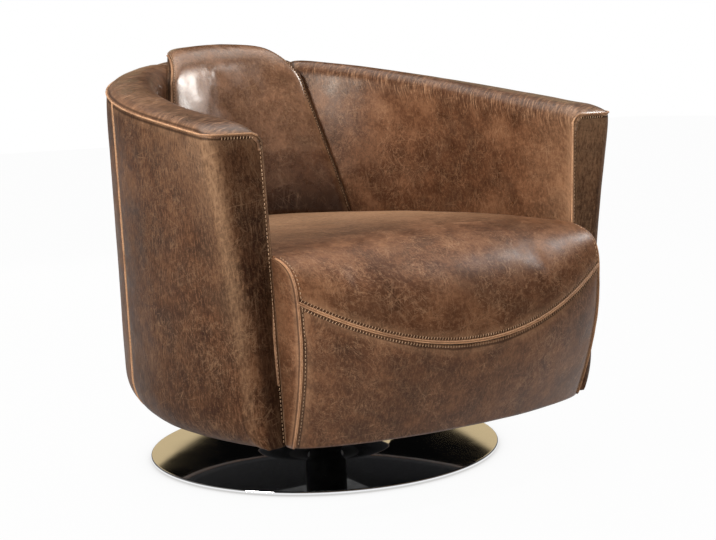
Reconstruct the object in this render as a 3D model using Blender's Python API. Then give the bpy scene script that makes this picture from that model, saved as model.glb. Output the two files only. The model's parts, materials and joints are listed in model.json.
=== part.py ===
"""Leather swivel tub chair on a polished disc: base, swivel, timber tub, springs, foam and leather panels.
Metres, +Z up, front towards -Y, swivel axis on the Z axis, floor at z = 0."""

import math

import bmesh
import bpy
import numpy as np

# Clearances
FIT = 0.0003  # between hard pieces that touch
SOFT_FIT = 0.0008  # between leather and what it is pulled over
SLIDE = 0.002  # between the seat and the arms beside it
FRAME_FIT = 0.0018  # between the curved timber and the boards on it

# Base on the floor
FLOOR_PAD_THICK = 0.0016
FLOOR_PAD_INSET = 0.012
DISC_RADIUS = 0.322
DISC_EDGE = 0.006
DISC_RISE = 0.011
DISC_EDGE_ROUND = 0.002
FLANGE_RADIUS = 0.070
FLANGE_THICK = 0.008
COLUMN_RADIUS = 0.038
COLUMN_BORE = 0.026
COLUMN_HEIGHT = 0.0862
COLUMN_FLOOR = 0.006
SPIGOT_RADIUS = 0.016
NUT_ACROSS = 0.046
NUT_THICK = 0.0075

# Swivel
SPINDLE_RADIUS = 0.0145
SPINDLE_TAIL = 0.008
BUSH_LIFT = 0.014  # lower bush above the floor of the column
BUSH_LENGTH = 0.018
BUSH_FLANGE_THICK = 0.003
BUSH_FLANGE_RADIUS = 0.036
WASHER_THICK = 0.0015
CLIP_THICK = 0.0016
CLIP_DEPTH = 0.0022
CLIP_RADIUS = 0.0205
SPINDLE_FLANGE_RADIUS = 0.045
SPINDLE_FLANGE_THICK = 0.004
PLATE_SIZE = 0.190
PLATE_THICK = 0.005
PLATE_CORNER = 0.020
BOLT_PITCH = 0.140
BOLT_RADIUS = 0.004
BOLT_ACROSS = 0.014
BOLT_HEAD_THICK = 0.0036
BOLT_GRIP = 0.026

# Tub wall, outside
ARM_SPAN = 0.788  # overall width at the arm tops
WALL_LEAN = 0.008  # how far each side leans out from foot to rim
BASE_SPAN = ARM_SPAN - 2 * WALL_LEAN
FRONT_TAPER = 0.052  # how far each arm foot draws in towards its front
TAPER_START = -0.120
FLARE_POWER = 1.6
ARM_FRONT = -0.370
SHOULDER = -0.155  # where the straight arms turn into the round back
BACK_REACH = 0.398
WALL_GAP = 0.0003  # wall foot above the underside of the frame
ARM_HEIGHT = 0.611
BACK_HEIGHT = 0.729
RIM_SAG = 0.007
ARM_CORNER = 0.022
UNDERCUT = 0.036
UNDERCUT_HEIGHT = 0.060

# Tub wall, inside and top
ARM_THICK_TOP = 0.094  # wall thickness of an arm at the rim and at the foot
ARM_THICK_BASE = 0.113
BACK_THICK_TOP = 0.064  # the same for the back
BACK_THICK_BASE = 0.130
INNER_SPAN_TOP = ARM_SPAN - 2 * ARM_THICK_TOP
INNER_SPAN_BASE = ARM_SPAN - 2 * ARM_THICK_BASE
INNER_BACK_TOP = BACK_REACH - BACK_THICK_TOP
INNER_BACK_BASE = BACK_REACH - BACK_THICK_BASE
RIM_DROP = 0.011  # outer rim seam below the crown
FRONT_EASE = 0.050  # length in which the crown settles to that seam at the arm fronts
CROWN_SHARE = 0.35
RIM_ROLL = 0.028  # round of the inner rim
RIM_ROLL_FRONT = 0.015  # the same at the arm fronts
REAR_SEAM = 18.0  # degrees round the back from the shoulder
INNER_SEAM = 66.0

# Sheet and timber
LEATHER = 0.0024
LINING = 0.0014
BOARD = 0.004
CAP_DEPTH = 0.050  # padding over the top rail
FRAME_SHARE = 0.42
RAIL_DEPTH = 0.045
FOOT_RAIL_SPARE = 0.006  # foot rail above the drawn in foot
SEAT_RAIL_DEPTH = 0.085
SEAT_RAIL_THICK = 0.032
FRONT_RAIL_THICK = 0.026
BLOCK_LEG = 0.050
CROSS_RAIL_DEPTH = 0.038
CROSS_RAIL_WIDTH = 0.060
TIMBER_EDGE = 0.002
FACING_DEPTH = 0.052
DUST_COVER = 0.0015
DUST_INSET = 0.010

# Springs
SPRING_COUNT = 5
SPRING_PITCH = 0.088
SPRING_WIRE = 0.0038
SPRING_WIDTH = 0.050
SPRING_BENDS = 13
SPRING_ARCH = 0.014
SPRING_PAD = 0.004

# Seat
SEAT_HEIGHT = 0.425
SEAT_EDGE_DROP = 0.008
SEAT_REAR_DROP = 0.012
SEAT_BACK_GAP = 0.020  # seat short of the back's foot
SEAT_REAR = INNER_BACK_BASE - SEAT_BACK_GAP
SEAT_ROLL_START = -0.250
SEAT_NOSE = -0.490
SEAT_NOSE_EDGE = -0.441
NOSE_HEIGHT = 0.263
NOSE_HEIGHT_EDGE = 0.300
NOSE_TUCK = 0.050
ROLL_POWER = 3.0
ROLL_POWER_EDGE = 5.0  # squarer beside the arms
SMILE_LOW = 0.267  # lowest point of the curved front seam
SMILE_HIGH = 0.352  # where it meets the arms

# Back cushion
CUSHION_FOOT_ROOM = 0.070  # between its sides and the arms
CUSHION_BROW_ROOM = 0.142  # the same where it leaves the wall, below the rim
CUSHION_TAPER = 0.068  # how much each side draws in from there to the tail
CUSHION_FOOT_HALF = INNER_SPAN_BASE / 2 - CUSHION_FOOT_ROOM
CUSHION_BROW_HALF = INNER_SPAN_TOP / 2 - CUSHION_BROW_ROOM
CUSHION_TAIL_HALF = CUSHION_BROW_HALF - CUSHION_TAPER
CUSHION_WAIST = 1.2  # how late its sides draw in
CUSHION_TURN = 1.0  # the same over the rim
CUSHION_FOOT_THICK = 0.064
CUSHION_BROW_THICK = 0.032
CUSHION_HEAD_THICK = 0.029  # on the crown
CUSHION_TAIL_THICK = 0.024
CUSHION_EDGE_THICK = 0.012  # at its sides
CUSHION_EDGE_POWER = 6.0  # how late it thins towards them
CUSHION_SHIFT = -0.020  # it lies a little to one side
CUSHION_GAP = 0.002  # behind the cushion, to the wall's lining

# Levels that follow from the sizes above
DISC_FOOT = FLOOR_PAD_THICK + FIT
DISC_TOP = DISC_FOOT + DISC_EDGE + DISC_RISE
COLUMN_FOOT = DISC_TOP + FIT
COLUMN_TOP = COLUMN_FOOT + COLUMN_HEIGHT
BUSH_TOP = COLUMN_TOP + FIT + BUSH_FLANGE_THICK
WASHER_FOOT = BUSH_TOP + FIT
SPINDLE_FLANGE_FOOT = WASHER_FOOT + WASHER_THICK + FIT
PLATE_FOOT = SPINDLE_FLANGE_FOOT + SPINDLE_FLANGE_THICK + FIT
COVER_FOOT = PLATE_FOOT + PLATE_THICK + FIT
FRAME_FOOT = COVER_FOOT + DUST_COVER + FIT
WALL_FOOT = FRAME_FOOT + WALL_GAP
SEAT_RAIL_TOP = FRAME_FOOT + SEAT_RAIL_DEPTH
SPRING_LEVEL = SEAT_RAIL_TOP + FIT + SPRING_WIRE / 2
SPRING_PAD_FOOT = SPRING_LEVEL + SPRING_ARCH + SPRING_WIRE / 2 + FIT
SEAT_FOAM_FOOT = SPRING_PAD_FOOT + SPRING_PAD + SOFT_FIT
PAD_FOOT = SPRING_LEVEL + SPRING_WIRE / 2 + SPRING_ARCH / 2 + SOFT_FIT
UNDER_LEATHER = LEATHER + SOFT_FIT
UNDER_BOARD = UNDER_LEATHER + FIT + BOARD + FRAME_FIT

for old in list(bpy.data.objects):
    bpy.data.objects.remove(old)


def material(name, colour, roughness, metallic=0.0):
    made = bpy.data.materials.new(name)
    made.use_nodes = True
    shader = made.node_tree.nodes["Principled BSDF"]
    shader.inputs["Base Color"].default_value = (*colour, 1)
    shader.inputs["Roughness"].default_value = roughness
    shader.inputs["Metallic"].default_value = metallic
    made.diffuse_color = (*colour, 1)
    made.roughness = roughness
    made.metallic = metallic
    return made


HIDE = material("brown_leather", (0.105, 0.050, 0.028), 0.42)
CHROME = material("polished_chrome", (0.80, 0.80, 0.82), 0.06, 1.0)
STEEL = material("zinc_steel", (0.52, 0.53, 0.55), 0.35, 1.0)
NYLON = material("white_nylon", (0.78, 0.77, 0.72), 0.5)
RUBBER = material("black_rubber", (0.03, 0.03, 0.03), 0.85)
BEECH = material("beech_timber", (0.56, 0.38, 0.21), 0.6)
FIBRE = material("fibre_board", (0.32, 0.24, 0.16), 0.85)
FOAM = material("cream_foam", (0.80, 0.74, 0.55), 0.95)
FELT = material("grey_felt", (0.30, 0.29, 0.28), 0.95)
CLOTH = material("black_cloth", (0.03, 0.03, 0.035), 0.9)

CHAIR = bpy.data.objects.new("swivel_axis", None)
bpy.context.collection.objects.link(CHAIR)
CHAIR.location = (0, 0, FRAME_FOOT)


def keep(name, points, faces, look, turning):
    """Makes one closed solid from points and faces, faces outward, sharp where it turns sharply."""
    shape = bmesh.new()
    corners = [shape.verts.new(p) for p in points]
    for face in faces:
        if len(set(face)) > 2:
            shape.faces.new([corners[i] for i in face])
    bmesh.ops.remove_doubles(shape, verts=shape.verts, dist=1e-7)
    if shape.calc_volume(signed=True) < 0:
        bmesh.ops.reverse_faces(shape, faces=shape.faces)
    for face in shape.faces:
        face.smooth = True
    for edge in shape.edges:
        edge.smooth = edge.calc_face_angle(0) < math.radians(35)
    mesh = bpy.data.meshes.new(name)
    shape.to_mesh(mesh)
    shape.free()
    mesh.materials.append(look)
    made = bpy.data.objects.new(name, mesh)
    bpy.context.collection.objects.link(made)
    if turning:
        mesh.transform(CHAIR.matrix_basis.inverted())
        made.parent = CHAIR
    return made


HEART = np.array((0.0, 0.0, 0.25))  # a point that all the layers lie round


def split(points, a, b, c, d):
    """Two triangles of a four-sided patch, folded towards the heart, so that parallel layers fold alike."""
    first = np.linalg.norm((points[a] + points[c]) / 2 - HEART)
    second = np.linalg.norm((points[b] + points[d]) / 2 - HEART)
    if first < second:
        return [(a, b, c), (a, c, d)]
    return [(b, c, d), (b, d, a)]


def sweep(name, rings, look, turning=True, loop=False, ladder=False):
    """A solid skinned over closed rings of points, all of one length, capped at both ends unless it loops.
    Rings that run up one face of a sheet and down its other take ladder caps, with rungs between faces."""
    count = len(rings[0])
    points = np.array([p for ring in rings for p in ring])
    faces = []
    for j in range(len(rings) - (not loop)):
        a = j * count
        b = (j + 1) % len(rings) * count
        for i in range(count):
            n = (i + 1) % count
            faces += split(points, a + i, b + i, b + n, a + n)
    end = len(points) - count
    if ladder:
        for i in range(count // 2 - 1):
            rung = (count - 1 - i, count - 2 - i, i + 1, i)
            faces += split(points, *reversed(rung))
            faces += split(points, *(end + place_on for place_on in rung))
    elif not loop:
        faces.append(tuple(range(count)))
        faces.append(tuple(reversed(range(end, len(points)))))
    return keep(name, points, faces, look, turning)


def turned(name, section, look, turning, steps=48, at=(0, 0)):
    """A solid of revolution. The section is a list of (radius, z), or a function of the angle giving one."""
    rings = []
    for j in range(steps):
        angle = 2 * math.pi * j / steps
        outline = section(angle) if callable(section) else section
        x, y = math.cos(angle), math.sin(angle)
        rings.append([(at[0] + r * x, at[1] + r * y, z) for r, z in outline])
    return sweep(name, rings, look, turning, loop=True)


def hexagon(across, angle):
    """Radius of a hexagon across its flats, at an angle."""
    part = (angle + 1e-9) % (math.pi / 3) - math.pi / 6
    return across / 2 / math.cos(part)


def board(name, low, high, look=BEECH, edge=TIMBER_EDGE):
    """A straight rail with eased edges, between two corners."""
    x, y, z = zip(low, high)
    sides = ((0, 0), (1, 0), (1, 1), (0, 1))
    rings = [[(x[i], y[j], height) for i, j in sides] for height in z]
    made = sweep(name, rings, look)
    if edge:
        ease = made.modifiers.new("eased_edges", "BEVEL")
        ease.width = edge
        ease.segments = 1
    return made


def cut(piece, cutter):
    """Takes a hidden cutter out of a piece."""
    cutter.hide_render = True
    cutter.display_type = "WIRE"
    taken = piece.modifiers.new("cut_" + cutter.name, "BOOLEAN")
    taken.operation = "DIFFERENCE"
    taken.solver = "EXACT"
    taken.object = cutter


def mix(a, b, t):
    return a + (b - a) * t


def clamp(t):
    return min(max(t, 0.0), 1.0)


def spread(a, b, count):
    return [mix(a, b, i / (count - 1)) for i in range(count)]


# The tub wall is one continuous U. A station says where along it: 0 at the middle of the back, 1 where
# the round back meets an arm, 2 where the arm's front corner starts, 3 at the arm's front and 4 across
# that front. Left is negative, right positive.


def station_y(station):
    """Plan position of the outer face along Y, by station."""
    s = abs(station)
    if s <= 1:
        return SHOULDER + (BACK_REACH - SHOULDER) * math.cos(s * math.pi / 2)
    corner_end = ARM_FRONT + ARM_CORNER
    if s <= 2:
        return mix(SHOULDER, corner_end, s - 1)
    if s <= 3:
        return ARM_FRONT + ARM_CORNER * (1 - math.cos((3 - s) * math.pi / 2))
    return ARM_FRONT


def rim(station):
    """Crown height of the wall, rising from the arm fronts to the back."""
    t = (station_y(station) - ARM_FRONT) / (BACK_REACH - ARM_FRONT)
    return mix(ARM_HEIGHT, BACK_HEIGHT, t) - RIM_SAG * 4 * t * (1 - t)


def rim_drop(station):
    """Outer rim seam below the crown at a station."""
    away = clamp((station_y(station) - ARM_FRONT) / FRONT_EASE)
    return RIM_DROP * (1 - (1 - away) ** 2)


def crown_height(station):
    return rim(station) - RIM_DROP + rim_drop(station)


def rim_roll(station):
    """Round of the inner rim, which tightens towards the arm fronts."""
    return mix(RIM_ROLL_FRONT, RIM_ROLL, clamp((station_y(station) - ARM_FRONT) / FRONT_EASE))


def half_width(y, z, top):
    """Half width of the tub's outside at a height: drawn in at the arm feet, flaring up to the rim."""
    t = clamp((TAPER_START - y) / (TAPER_START - ARM_FRONT))
    foot = BASE_SPAN / 2 - FRONT_TAPER * t * t
    return mix(foot, ARM_SPAN / 2, clamp((z - WALL_FOOT) / (top - WALL_FOOT)) ** FLARE_POWER)


def inner_half(z):
    """Half width of the space between the arms."""
    return mix(INNER_SPAN_BASE, INNER_SPAN_TOP, (z - WALL_FOOT) / (ARM_HEIGHT - WALL_FOOT)) / 2


def inner_back(z):
    """How far back the inside of the tub reaches."""
    return mix(INNER_BACK_BASE, INNER_BACK_TOP, (z - WALL_FOOT) / (BACK_HEIGHT - WALL_FOOT))


def outline(station, z):
    """Outside of the wall in plan, before its foot is drawn in."""
    s = abs(station)
    y = station_y(station)
    half = half_width(y, z, rim(station))
    if s <= 1:
        x = half * math.sin(s * math.pi / 2)
    elif s <= 2:
        x = half
    elif s <= 3:
        x = half - ARM_CORNER * (1 - math.sin((3 - s) * math.pi / 2))
    else:
        x = mix(half - ARM_CORNER, inner_half(z), s - 3)
    return np.array((math.copysign(x, station) if station else 0.0, y))


def facing_out(station, z):
    """Plan normal of the outside."""
    step = 0.01
    ahead = outline(station + step, z) if abs(station + step) <= 4 else outline(station, z)
    behind = outline(station - step, z) if abs(station - step) <= 4 else outline(station, z)
    along = ahead - behind
    # Stations run from the left front round the back to the right front, so the outside lies to the left.
    normal = np.array((-along[1], along[0]))
    return normal / np.linalg.norm(normal)


def outside(station, z):
    """The outside in plan with its foot drawn in: square to the round back, sideways along the arms."""
    t = clamp((WALL_FOOT + UNDERCUT_HEIGHT - z) / UNDERCUT_HEIGHT)
    inset = UNDERCUT * (1 - math.sqrt(max(0.0, 1 - t * t)))
    s = abs(station)
    if s <= 1:
        return outline(station, z) - facing_out(station, z) * inset
    inset *= clamp(3 - s) if s > 2 else 1
    return outline(station, z) - np.array((math.copysign(inset, station), 0.0))


def skin(station, z, depth):
    """A point at some depth under the outside, square to it."""
    x, y = outside(station, z) - facing_out(station, z) * depth
    return (x, y, z)


def across(station, z):
    """Outer point, direction inward and wall thickness, on a line that crosses the wall."""
    s = abs(station)
    outer = outside(station, z)
    half = inner_half(z)
    if s <= 1:
        inner = (half * math.sin(station * math.pi / 2),
                 SHOULDER + (inner_back(z) - SHOULDER) * math.cos(s * math.pi / 2))
    else:
        inner = (math.copysign(half, station), outer[1])
    way = np.array(inner) - outer
    length = np.linalg.norm(way)
    return outer, way / length, length


def core(station, depth, z):
    """A point inside the wall, at a depth from its outside."""
    outer, way, _ = across(station, z)
    x, y = outer + way * depth
    return (x, y, z)


def thickness(station, z):
    return across(station, z)[2]


CROWN_STEPS, ROLL_STEPS, INNER_STEPS = 3, 4, 4
INNER_FIRST = CROWN_STEPS + ROLL_STEPS + 1


def lining(station, low):
    """Section of the wall's lining as (depth, z): from the rim seam over the crown to a low level."""
    top, drop = crown_height(station), rim_drop(station)
    roll = rim_roll(station)
    wide = thickness(station, top - roll)
    crown = CROWN_SHARE * wide
    rows = []
    for i in range(CROWN_STEPS + 1):
        a = math.pi / 2 * i / CROWN_STEPS
        rows.append((crown * (1 - math.cos(a)), top - drop * (1 - math.sin(a))))
    for i in range(ROLL_STEPS + 1):
        a = math.pi / 2 * i / ROLL_STEPS
        rows.append((wide - roll * (1 - math.sin(a)), top - roll * (1 - math.cos(a))))
    for i in range(1, INNER_STEPS + 1):
        z = mix(top - roll, low, i / INNER_STEPS)
        rows.append((thickness(station, z), z))
    return np.array(rows)


def inward(rows):
    """Mitred normals of a lining section, pointing into the wall."""
    along = np.diff(rows, axis=0)
    along /= np.linalg.norm(along, axis=1)[:, None]
    sides = np.stack((along[:, 1], -along[:, 0]), axis=1)
    first = np.vstack((sides[:1], sides))
    last = np.vstack((sides, sides[-1:]))
    middle = first + last
    return 2 * middle / (middle * middle).sum(axis=1)[:, None]


def lined(station, low, depth):
    """The lining's section at some depth, level with the rim seam where it starts."""
    rows = lining(station, low)
    normals = inward(rows)
    normals[0] = (1, 0)
    return rows + normals * depth


def place(station, rows):
    return [core(station, d, z) for d, z in rows]


def mirrored(stations):
    return [-s for s in reversed(stations)]


# Stations shared by all the pieces of the wall, so that their facets lie in step
REAR_STATION = 1 - REAR_SEAM / 90
INNER_STATION = 1 - INNER_SEAM / 90
FACING_STATION = 1 + (ARM_FRONT + FACING_DEPTH - SHOULDER) / (ARM_FRONT + ARM_CORNER - SHOULDER)
STATION_GAP = SOFT_FIT / (BACK_REACH - SHOULDER)
PAD_GAP = SLIDE / (BACK_REACH - SHOULDER)
FRONT_END = 3 - math.acos(1 - UNDER_LEATHER / ARM_CORNER) * 2 / math.pi
BACK_HALF = spread(0, INNER_STATION, 4) + spread(INNER_STATION, REAR_STATION, 6)[1:]
ARM_HALF = spread(REAR_STATION, 1, 3)[1:] + spread(1, FACING_STATION, 5)[1:]
HALF = BACK_HALF + ARM_HALF
CORNER = spread(FACING_STATION, 2, 2)[1:] + spread(2, 3, 5)[1:]
ACROSS_FRONT = [3 + share for share in (0.02, 0.07, 0.16, 0.35, 0.6, 0.8, 0.93, 1.0)]
POST_PLACES = {"arm_post": ARM_HALF[2:4], "back_post": BACK_HALF[5:7]}

# Heights that the drawn in foot of the wall is drawn through, shared as well
FOOT_ROWS = [WALL_FOOT + UNDERCUT_HEIGHT * share for share in (0.0, 0.12, 0.3, 0.6, 1.0)]
FOOT_RAIL_TOP = FOOT_ROWS[-1] + FOOT_RAIL_SPARE


def between(first, last):
    """Shared stations from one place to another, with both ends in the list."""
    every = sorted(set(mirrored(HALF) + HALF))
    inside = [s for s in every if first + 1e-6 < s < last - 1e-6]
    return [first] + inside + [last]


def sided(stations, side):
    return stations if side > 0 else mirrored(stations)


def heights(top, count=5):
    return FOOT_ROWS + spread(FOOT_ROWS[-1], top, count)[1:]


def sheet(name, stations, near, far, top_of, look):
    """A sheet on the outside of the wall between two depths, up to a level that may vary along it."""
    rings = []
    for s in stations:
        levels = heights(top_of(s))
        outer = [skin(s, z, near) for z in levels]
        inner = [skin(s, z, far) for z in levels]
        rings.append(outer + inner[::-1])
    return sweep(name, rings, look, ladder=True)


def rim_seam(station):
    """Top edge of the outside leather: the rim seam, then the wall's own section across an arm front."""
    s = abs(station)
    if s <= 3:
        return rim(station) - RIM_DROP - FIT - LEATHER * (1 - rim_drop(station) / RIM_DROP)
    rows = lining(math.copysign(3, station), PAD_FOOT)[:INNER_FIRST + 1]
    depth = rows[-1, 0] * (s - 3)
    return float(np.interp(depth, rows[:, 0], rows[:, 1])) - FIT


def cap_foot(station):
    """Underside of the padding that lies over the top rail."""
    return rim(station) - CAP_DEPTH


def timber(name, stations, span, levels_of):
    """A curved timber piece inside the wall, between two depths given by station and height."""
    rings = []
    for s in stations:
        levels = levels_of(s)
        outer = [core(s, span(s, z)[0], z) for z in levels]
        inner = [core(s, span(s, z)[1], z) for z in levels]
        rings.append(outer + inner[::-1])
    return sweep(name, rings, BEECH, ladder=True)


def frame_span(station, z):
    return UNDER_BOARD, FRAME_SHARE * thickness(station, z) - FIT


def seat_rail_span(station, z):
    wide = thickness(station, z)
    first = FRAME_SHARE * wide + FIT
    return first, min(first + SEAT_RAIL_THICK, wide - UNDER_LEATHER)


# Base on the floor
RECESS_RADIUS = NUT_ACROSS / 2 / math.cos(math.pi / 6) + 2 * FIT
RECESS_TOP = DISC_FOOT + NUT_THICK + FIT
turned("base_pad", [
    (0, 0), (DISC_RADIUS - FLOOR_PAD_INSET, 0),
    (DISC_RADIUS - FLOOR_PAD_INSET, FLOOR_PAD_THICK), (0, FLOOR_PAD_THICK),
], RUBBER, False, 48)

DISC_SHOULDER = DISC_FOOT + DISC_EDGE
dome = []
for share in spread(0, 1, 6):
    radius = mix(DISC_RADIUS - DISC_EDGE_ROUND, FLANGE_RADIUS, share)
    dome.append((radius, DISC_SHOULDER + DISC_RISE * math.sin(share * math.pi / 2)))
turned("base_disc", [
    (SPIGOT_RADIUS + FIT, RECESS_TOP), (RECESS_RADIUS, RECESS_TOP), (RECESS_RADIUS, DISC_FOOT),
    (DISC_RADIUS - DISC_EDGE_ROUND, DISC_FOOT), (DISC_RADIUS, DISC_FOOT + DISC_EDGE_ROUND),
    (DISC_RADIUS, DISC_SHOULDER - DISC_EDGE_ROUND),
] + dome + [(SPIGOT_RADIUS + FIT, DISC_TOP)], CHROME, False, 72)

turned("base_nut", lambda angle: [
    (SPIGOT_RADIUS + FIT, DISC_FOOT), (hexagon(NUT_ACROSS, angle), DISC_FOOT),
    (hexagon(NUT_ACROSS, angle), DISC_FOOT + NUT_THICK), (SPIGOT_RADIUS + FIT, DISC_FOOT + NUT_THICK),
], STEEL, False, 24)

BORE_FOOT = COLUMN_FOOT + COLUMN_FLOOR
COLLAR = FLANGE_THICK * 0.6
turned("pedestal_column", [
    (0, DISC_FOOT + FIT), (SPIGOT_RADIUS, DISC_FOOT + FIT), (SPIGOT_RADIUS, COLUMN_FOOT),
    (FLANGE_RADIUS - FIT, COLUMN_FOOT), (FLANGE_RADIUS - FIT, COLUMN_FOOT + COLLAR),
    (COLUMN_RADIUS + COLLAR, COLUMN_FOOT + FLANGE_THICK),
    (COLUMN_RADIUS, COLUMN_FOOT + FLANGE_THICK + COLLAR), (COLUMN_RADIUS, COLUMN_TOP),
    (COLUMN_BORE, COLUMN_TOP), (COLUMN_BORE, BORE_FOOT), (0, BORE_FOOT),
], CHROME, False, 40)

RUN_RADIUS = SPINDLE_RADIUS + FIT
LOWER_BUSH_FOOT = BORE_FOOT + BUSH_LIFT
turned("lower_bush", [
    (RUN_RADIUS, LOWER_BUSH_FOOT), (COLUMN_BORE - FIT, LOWER_BUSH_FOOT),
    (COLUMN_BORE - FIT, LOWER_BUSH_FOOT + BUSH_LENGTH), (RUN_RADIUS, LOWER_BUSH_FOOT + BUSH_LENGTH),
], NYLON, False, 32)
turned("upper_bush", [
    (RUN_RADIUS, COLUMN_TOP - BUSH_LENGTH), (COLUMN_BORE - FIT, COLUMN_TOP - BUSH_LENGTH),
    (COLUMN_BORE - FIT, COLUMN_TOP + FIT), (BUSH_FLANGE_RADIUS, COLUMN_TOP + FIT),
    (BUSH_FLANGE_RADIUS, BUSH_TOP), (RUN_RADIUS, BUSH_TOP),
], NYLON, False, 32)
turned("thrust_washer", [
    (RUN_RADIUS, WASHER_FOOT), (BUSH_FLANGE_RADIUS, WASHER_FOOT),
    (BUSH_FLANGE_RADIUS, WASHER_FOOT + WASHER_THICK), (RUN_RADIUS, WASHER_FOOT + WASHER_THICK),
], STEEL, False, 32)

# Swivel, turning with the chair
TAIL = LOWER_BUSH_FOOT - SPINDLE_TAIL
CLIP_TOP = LOWER_BUSH_FOOT - FIT
CLIP_FOOT = CLIP_TOP - CLIP_THICK
NECK = SPINDLE_RADIUS - CLIP_DEPTH
turned("spindle", [
    (0, TAIL), (SPINDLE_RADIUS, TAIL), (SPINDLE_RADIUS, CLIP_FOOT - FIT), (NECK, CLIP_FOOT - FIT),
    (NECK, CLIP_TOP + FIT), (SPINDLE_RADIUS, CLIP_TOP + FIT), (SPINDLE_RADIUS, SPINDLE_FLANGE_FOOT),
    (SPINDLE_FLANGE_RADIUS, SPINDLE_FLANGE_FOOT),
    (SPINDLE_FLANGE_RADIUS, SPINDLE_FLANGE_FOOT + SPINDLE_FLANGE_THICK),
    (0, SPINDLE_FLANGE_FOOT + SPINDLE_FLANGE_THICK),
], STEEL, True, 32)
turned("retaining_ring", [
    (NECK + FIT, CLIP_FOOT), (CLIP_RADIUS, CLIP_FOOT), (CLIP_RADIUS, CLIP_TOP), (NECK + FIT, CLIP_TOP),
], STEEL, True, 24)

corners = []
for quarter in range(4):
    for turn in spread(0, math.pi / 2, 5):
        angle = quarter * math.pi / 2 + turn
        middle = quarter * math.pi / 2 + math.pi / 4
        reach = (PLATE_SIZE / 2 - PLATE_CORNER) * math.sqrt(2)
        corners.append((reach * math.cos(middle) + PLATE_CORNER * math.cos(angle),
                        reach * math.sin(middle) + PLATE_CORNER * math.sin(angle)))
faces_of_plate = (PLATE_FOOT, PLATE_FOOT + PLATE_THICK)
plate = sweep("swivel_plate", [[(x, y, z) for x, y in corners] for z in faces_of_plate], STEEL)


def rail_line(z):
    """Inside edge of the seat rail in plan, by station."""
    return [core(s, seat_rail_span(s, z)[1], z) for s in spread(0, FACING_STATION, 60)]


def rail_half(y):
    """Half width inside the seat rail at some y, at its narrowest height."""
    halves = []
    for z in FOOT_ROWS:
        line = rail_line(z)[::-1]
        halves.append(float(np.interp(y, [p[1] for p in line], [p[0] for p in line])))
    return min(halves)


cross_rails = {}
for place_name, side in (("front", -1), ("rear", 1)):
    near = side * (BOLT_PITCH / 2) - CROSS_RAIL_WIDTH / 2
    far = near + CROSS_RAIL_WIDTH
    half = min(rail_half(near), rail_half(far)) - SLIDE
    low, high = (-half, near, FRAME_FOOT), (half, far, FRAME_FOOT + CROSS_RAIL_DEPTH)
    cross_rails[side] = board("cross_rail_" + place_name, low, high)

bolt_holes = []
for side_y in (-1, 1):
    for side_x in (-1, 1):
        number = len(bolt_holes) + 1
        at = (side_x * BOLT_PITCH / 2, side_y * BOLT_PITCH / 2)
        hole = turned("bolt_hole_%d" % number, [
            (0, PLATE_FOOT - PLATE_THICK), (BOLT_RADIUS + FIT, PLATE_FOOT - PLATE_THICK),
            (BOLT_RADIUS + FIT, FRAME_FOOT + BOLT_GRIP), (0, FRAME_FOOT + BOLT_GRIP),
        ], STEEL, True, 12, at)
        bolt_holes.append(hole)
        cut(plate, hole)
        cut(cross_rails[side_y], hole)
        head_top = PLATE_FOOT - FIT
        turned("plate_bolt_%d" % number, lambda angle: [
            (0, head_top - BOLT_HEAD_THICK), (hexagon(BOLT_ACROSS, angle), head_top - BOLT_HEAD_THICK),
            (hexagon(BOLT_ACROSS, angle), head_top), (BOLT_RADIUS, head_top),
            (BOLT_RADIUS, FRAME_FOOT + BOLT_GRIP - BOLT_RADIUS), (0, FRAME_FOOT + BOLT_GRIP - BOLT_RADIUS),
        ], STEEL, True, 12, at)

# Timber tub


def top_rail_foot(station):
    return cap_foot(station) - SOFT_FIT - RAIL_DEPTH


FRAME_END = FACING_STATION - SLIDE / (SHOULDER - ARM_FRONT - ARM_CORNER)
whole = between(-FRAME_END, FRAME_END)
timber("tub_foot_rail", whole, frame_span, lambda s: FOOT_ROWS + [FOOT_RAIL_TOP])
timber("tub_top_rail", whole, frame_span, lambda s: (top_rail_foot(s), cap_foot(s) - SOFT_FIT))
timber("seat_rail", whole, seat_rail_span, lambda s: FOOT_ROWS + [SEAT_RAIL_TOP])
for post, places in POST_PLACES.items():
    for side_name, side in (("left", -1), ("right", 1)):
        timber(post + "_" + side_name, sided(places, side), frame_span,
               lambda s: spread(FOOT_RAIL_TOP + FIT, top_rail_foot(s) - FIT, 5))


def facing_ring(station):
    """Section of an arm's front facing: rounded at its outer corner, following the crown above."""
    side = math.copysign(1, station)
    top = crown_height(station) - UNDER_LEATHER - SOFT_FIT
    levels = heights(top - rim_drop(station) - SOFT_FIT)[1:]
    outer = [skin(station, z, UNDER_LEATHER + SOFT_FIT) for z in levels]
    if abs(station) <= 2:
        outer = [(x, core(station, 0, z)[1], z) for x, _, z in outer]
    x_out, y, _ = outer[-1]
    x_in = side * (inner_half(top) + UNDER_LEATHER + SOFT_FIT)
    ring = outer + [(mix(x_out, x_in, CROWN_SHARE), y, top - FIT)]
    roll = rim_roll(station) - UNDER_LEATHER
    for turn in spread(0, math.pi / 2, ROLL_STEPS + 1):
        inset = roll * (1 - math.sin(turn))
        ring.append((x_in + side * inset, y, top - FIT - roll * (1 - math.cos(turn))))
    for z, point in zip(levels[-2::-1], outer[-2::-1]):
        ring.append((side * (inner_half(z) + UNDER_LEATHER), point[1], z))
    return ring


for side_name, side in (("left", -1), ("right", 1)):
    sweep("arm_facing_" + side_name, [facing_ring(s) for s in sided([FACING_STATION] + CORNER, side)], BEECH)

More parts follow.
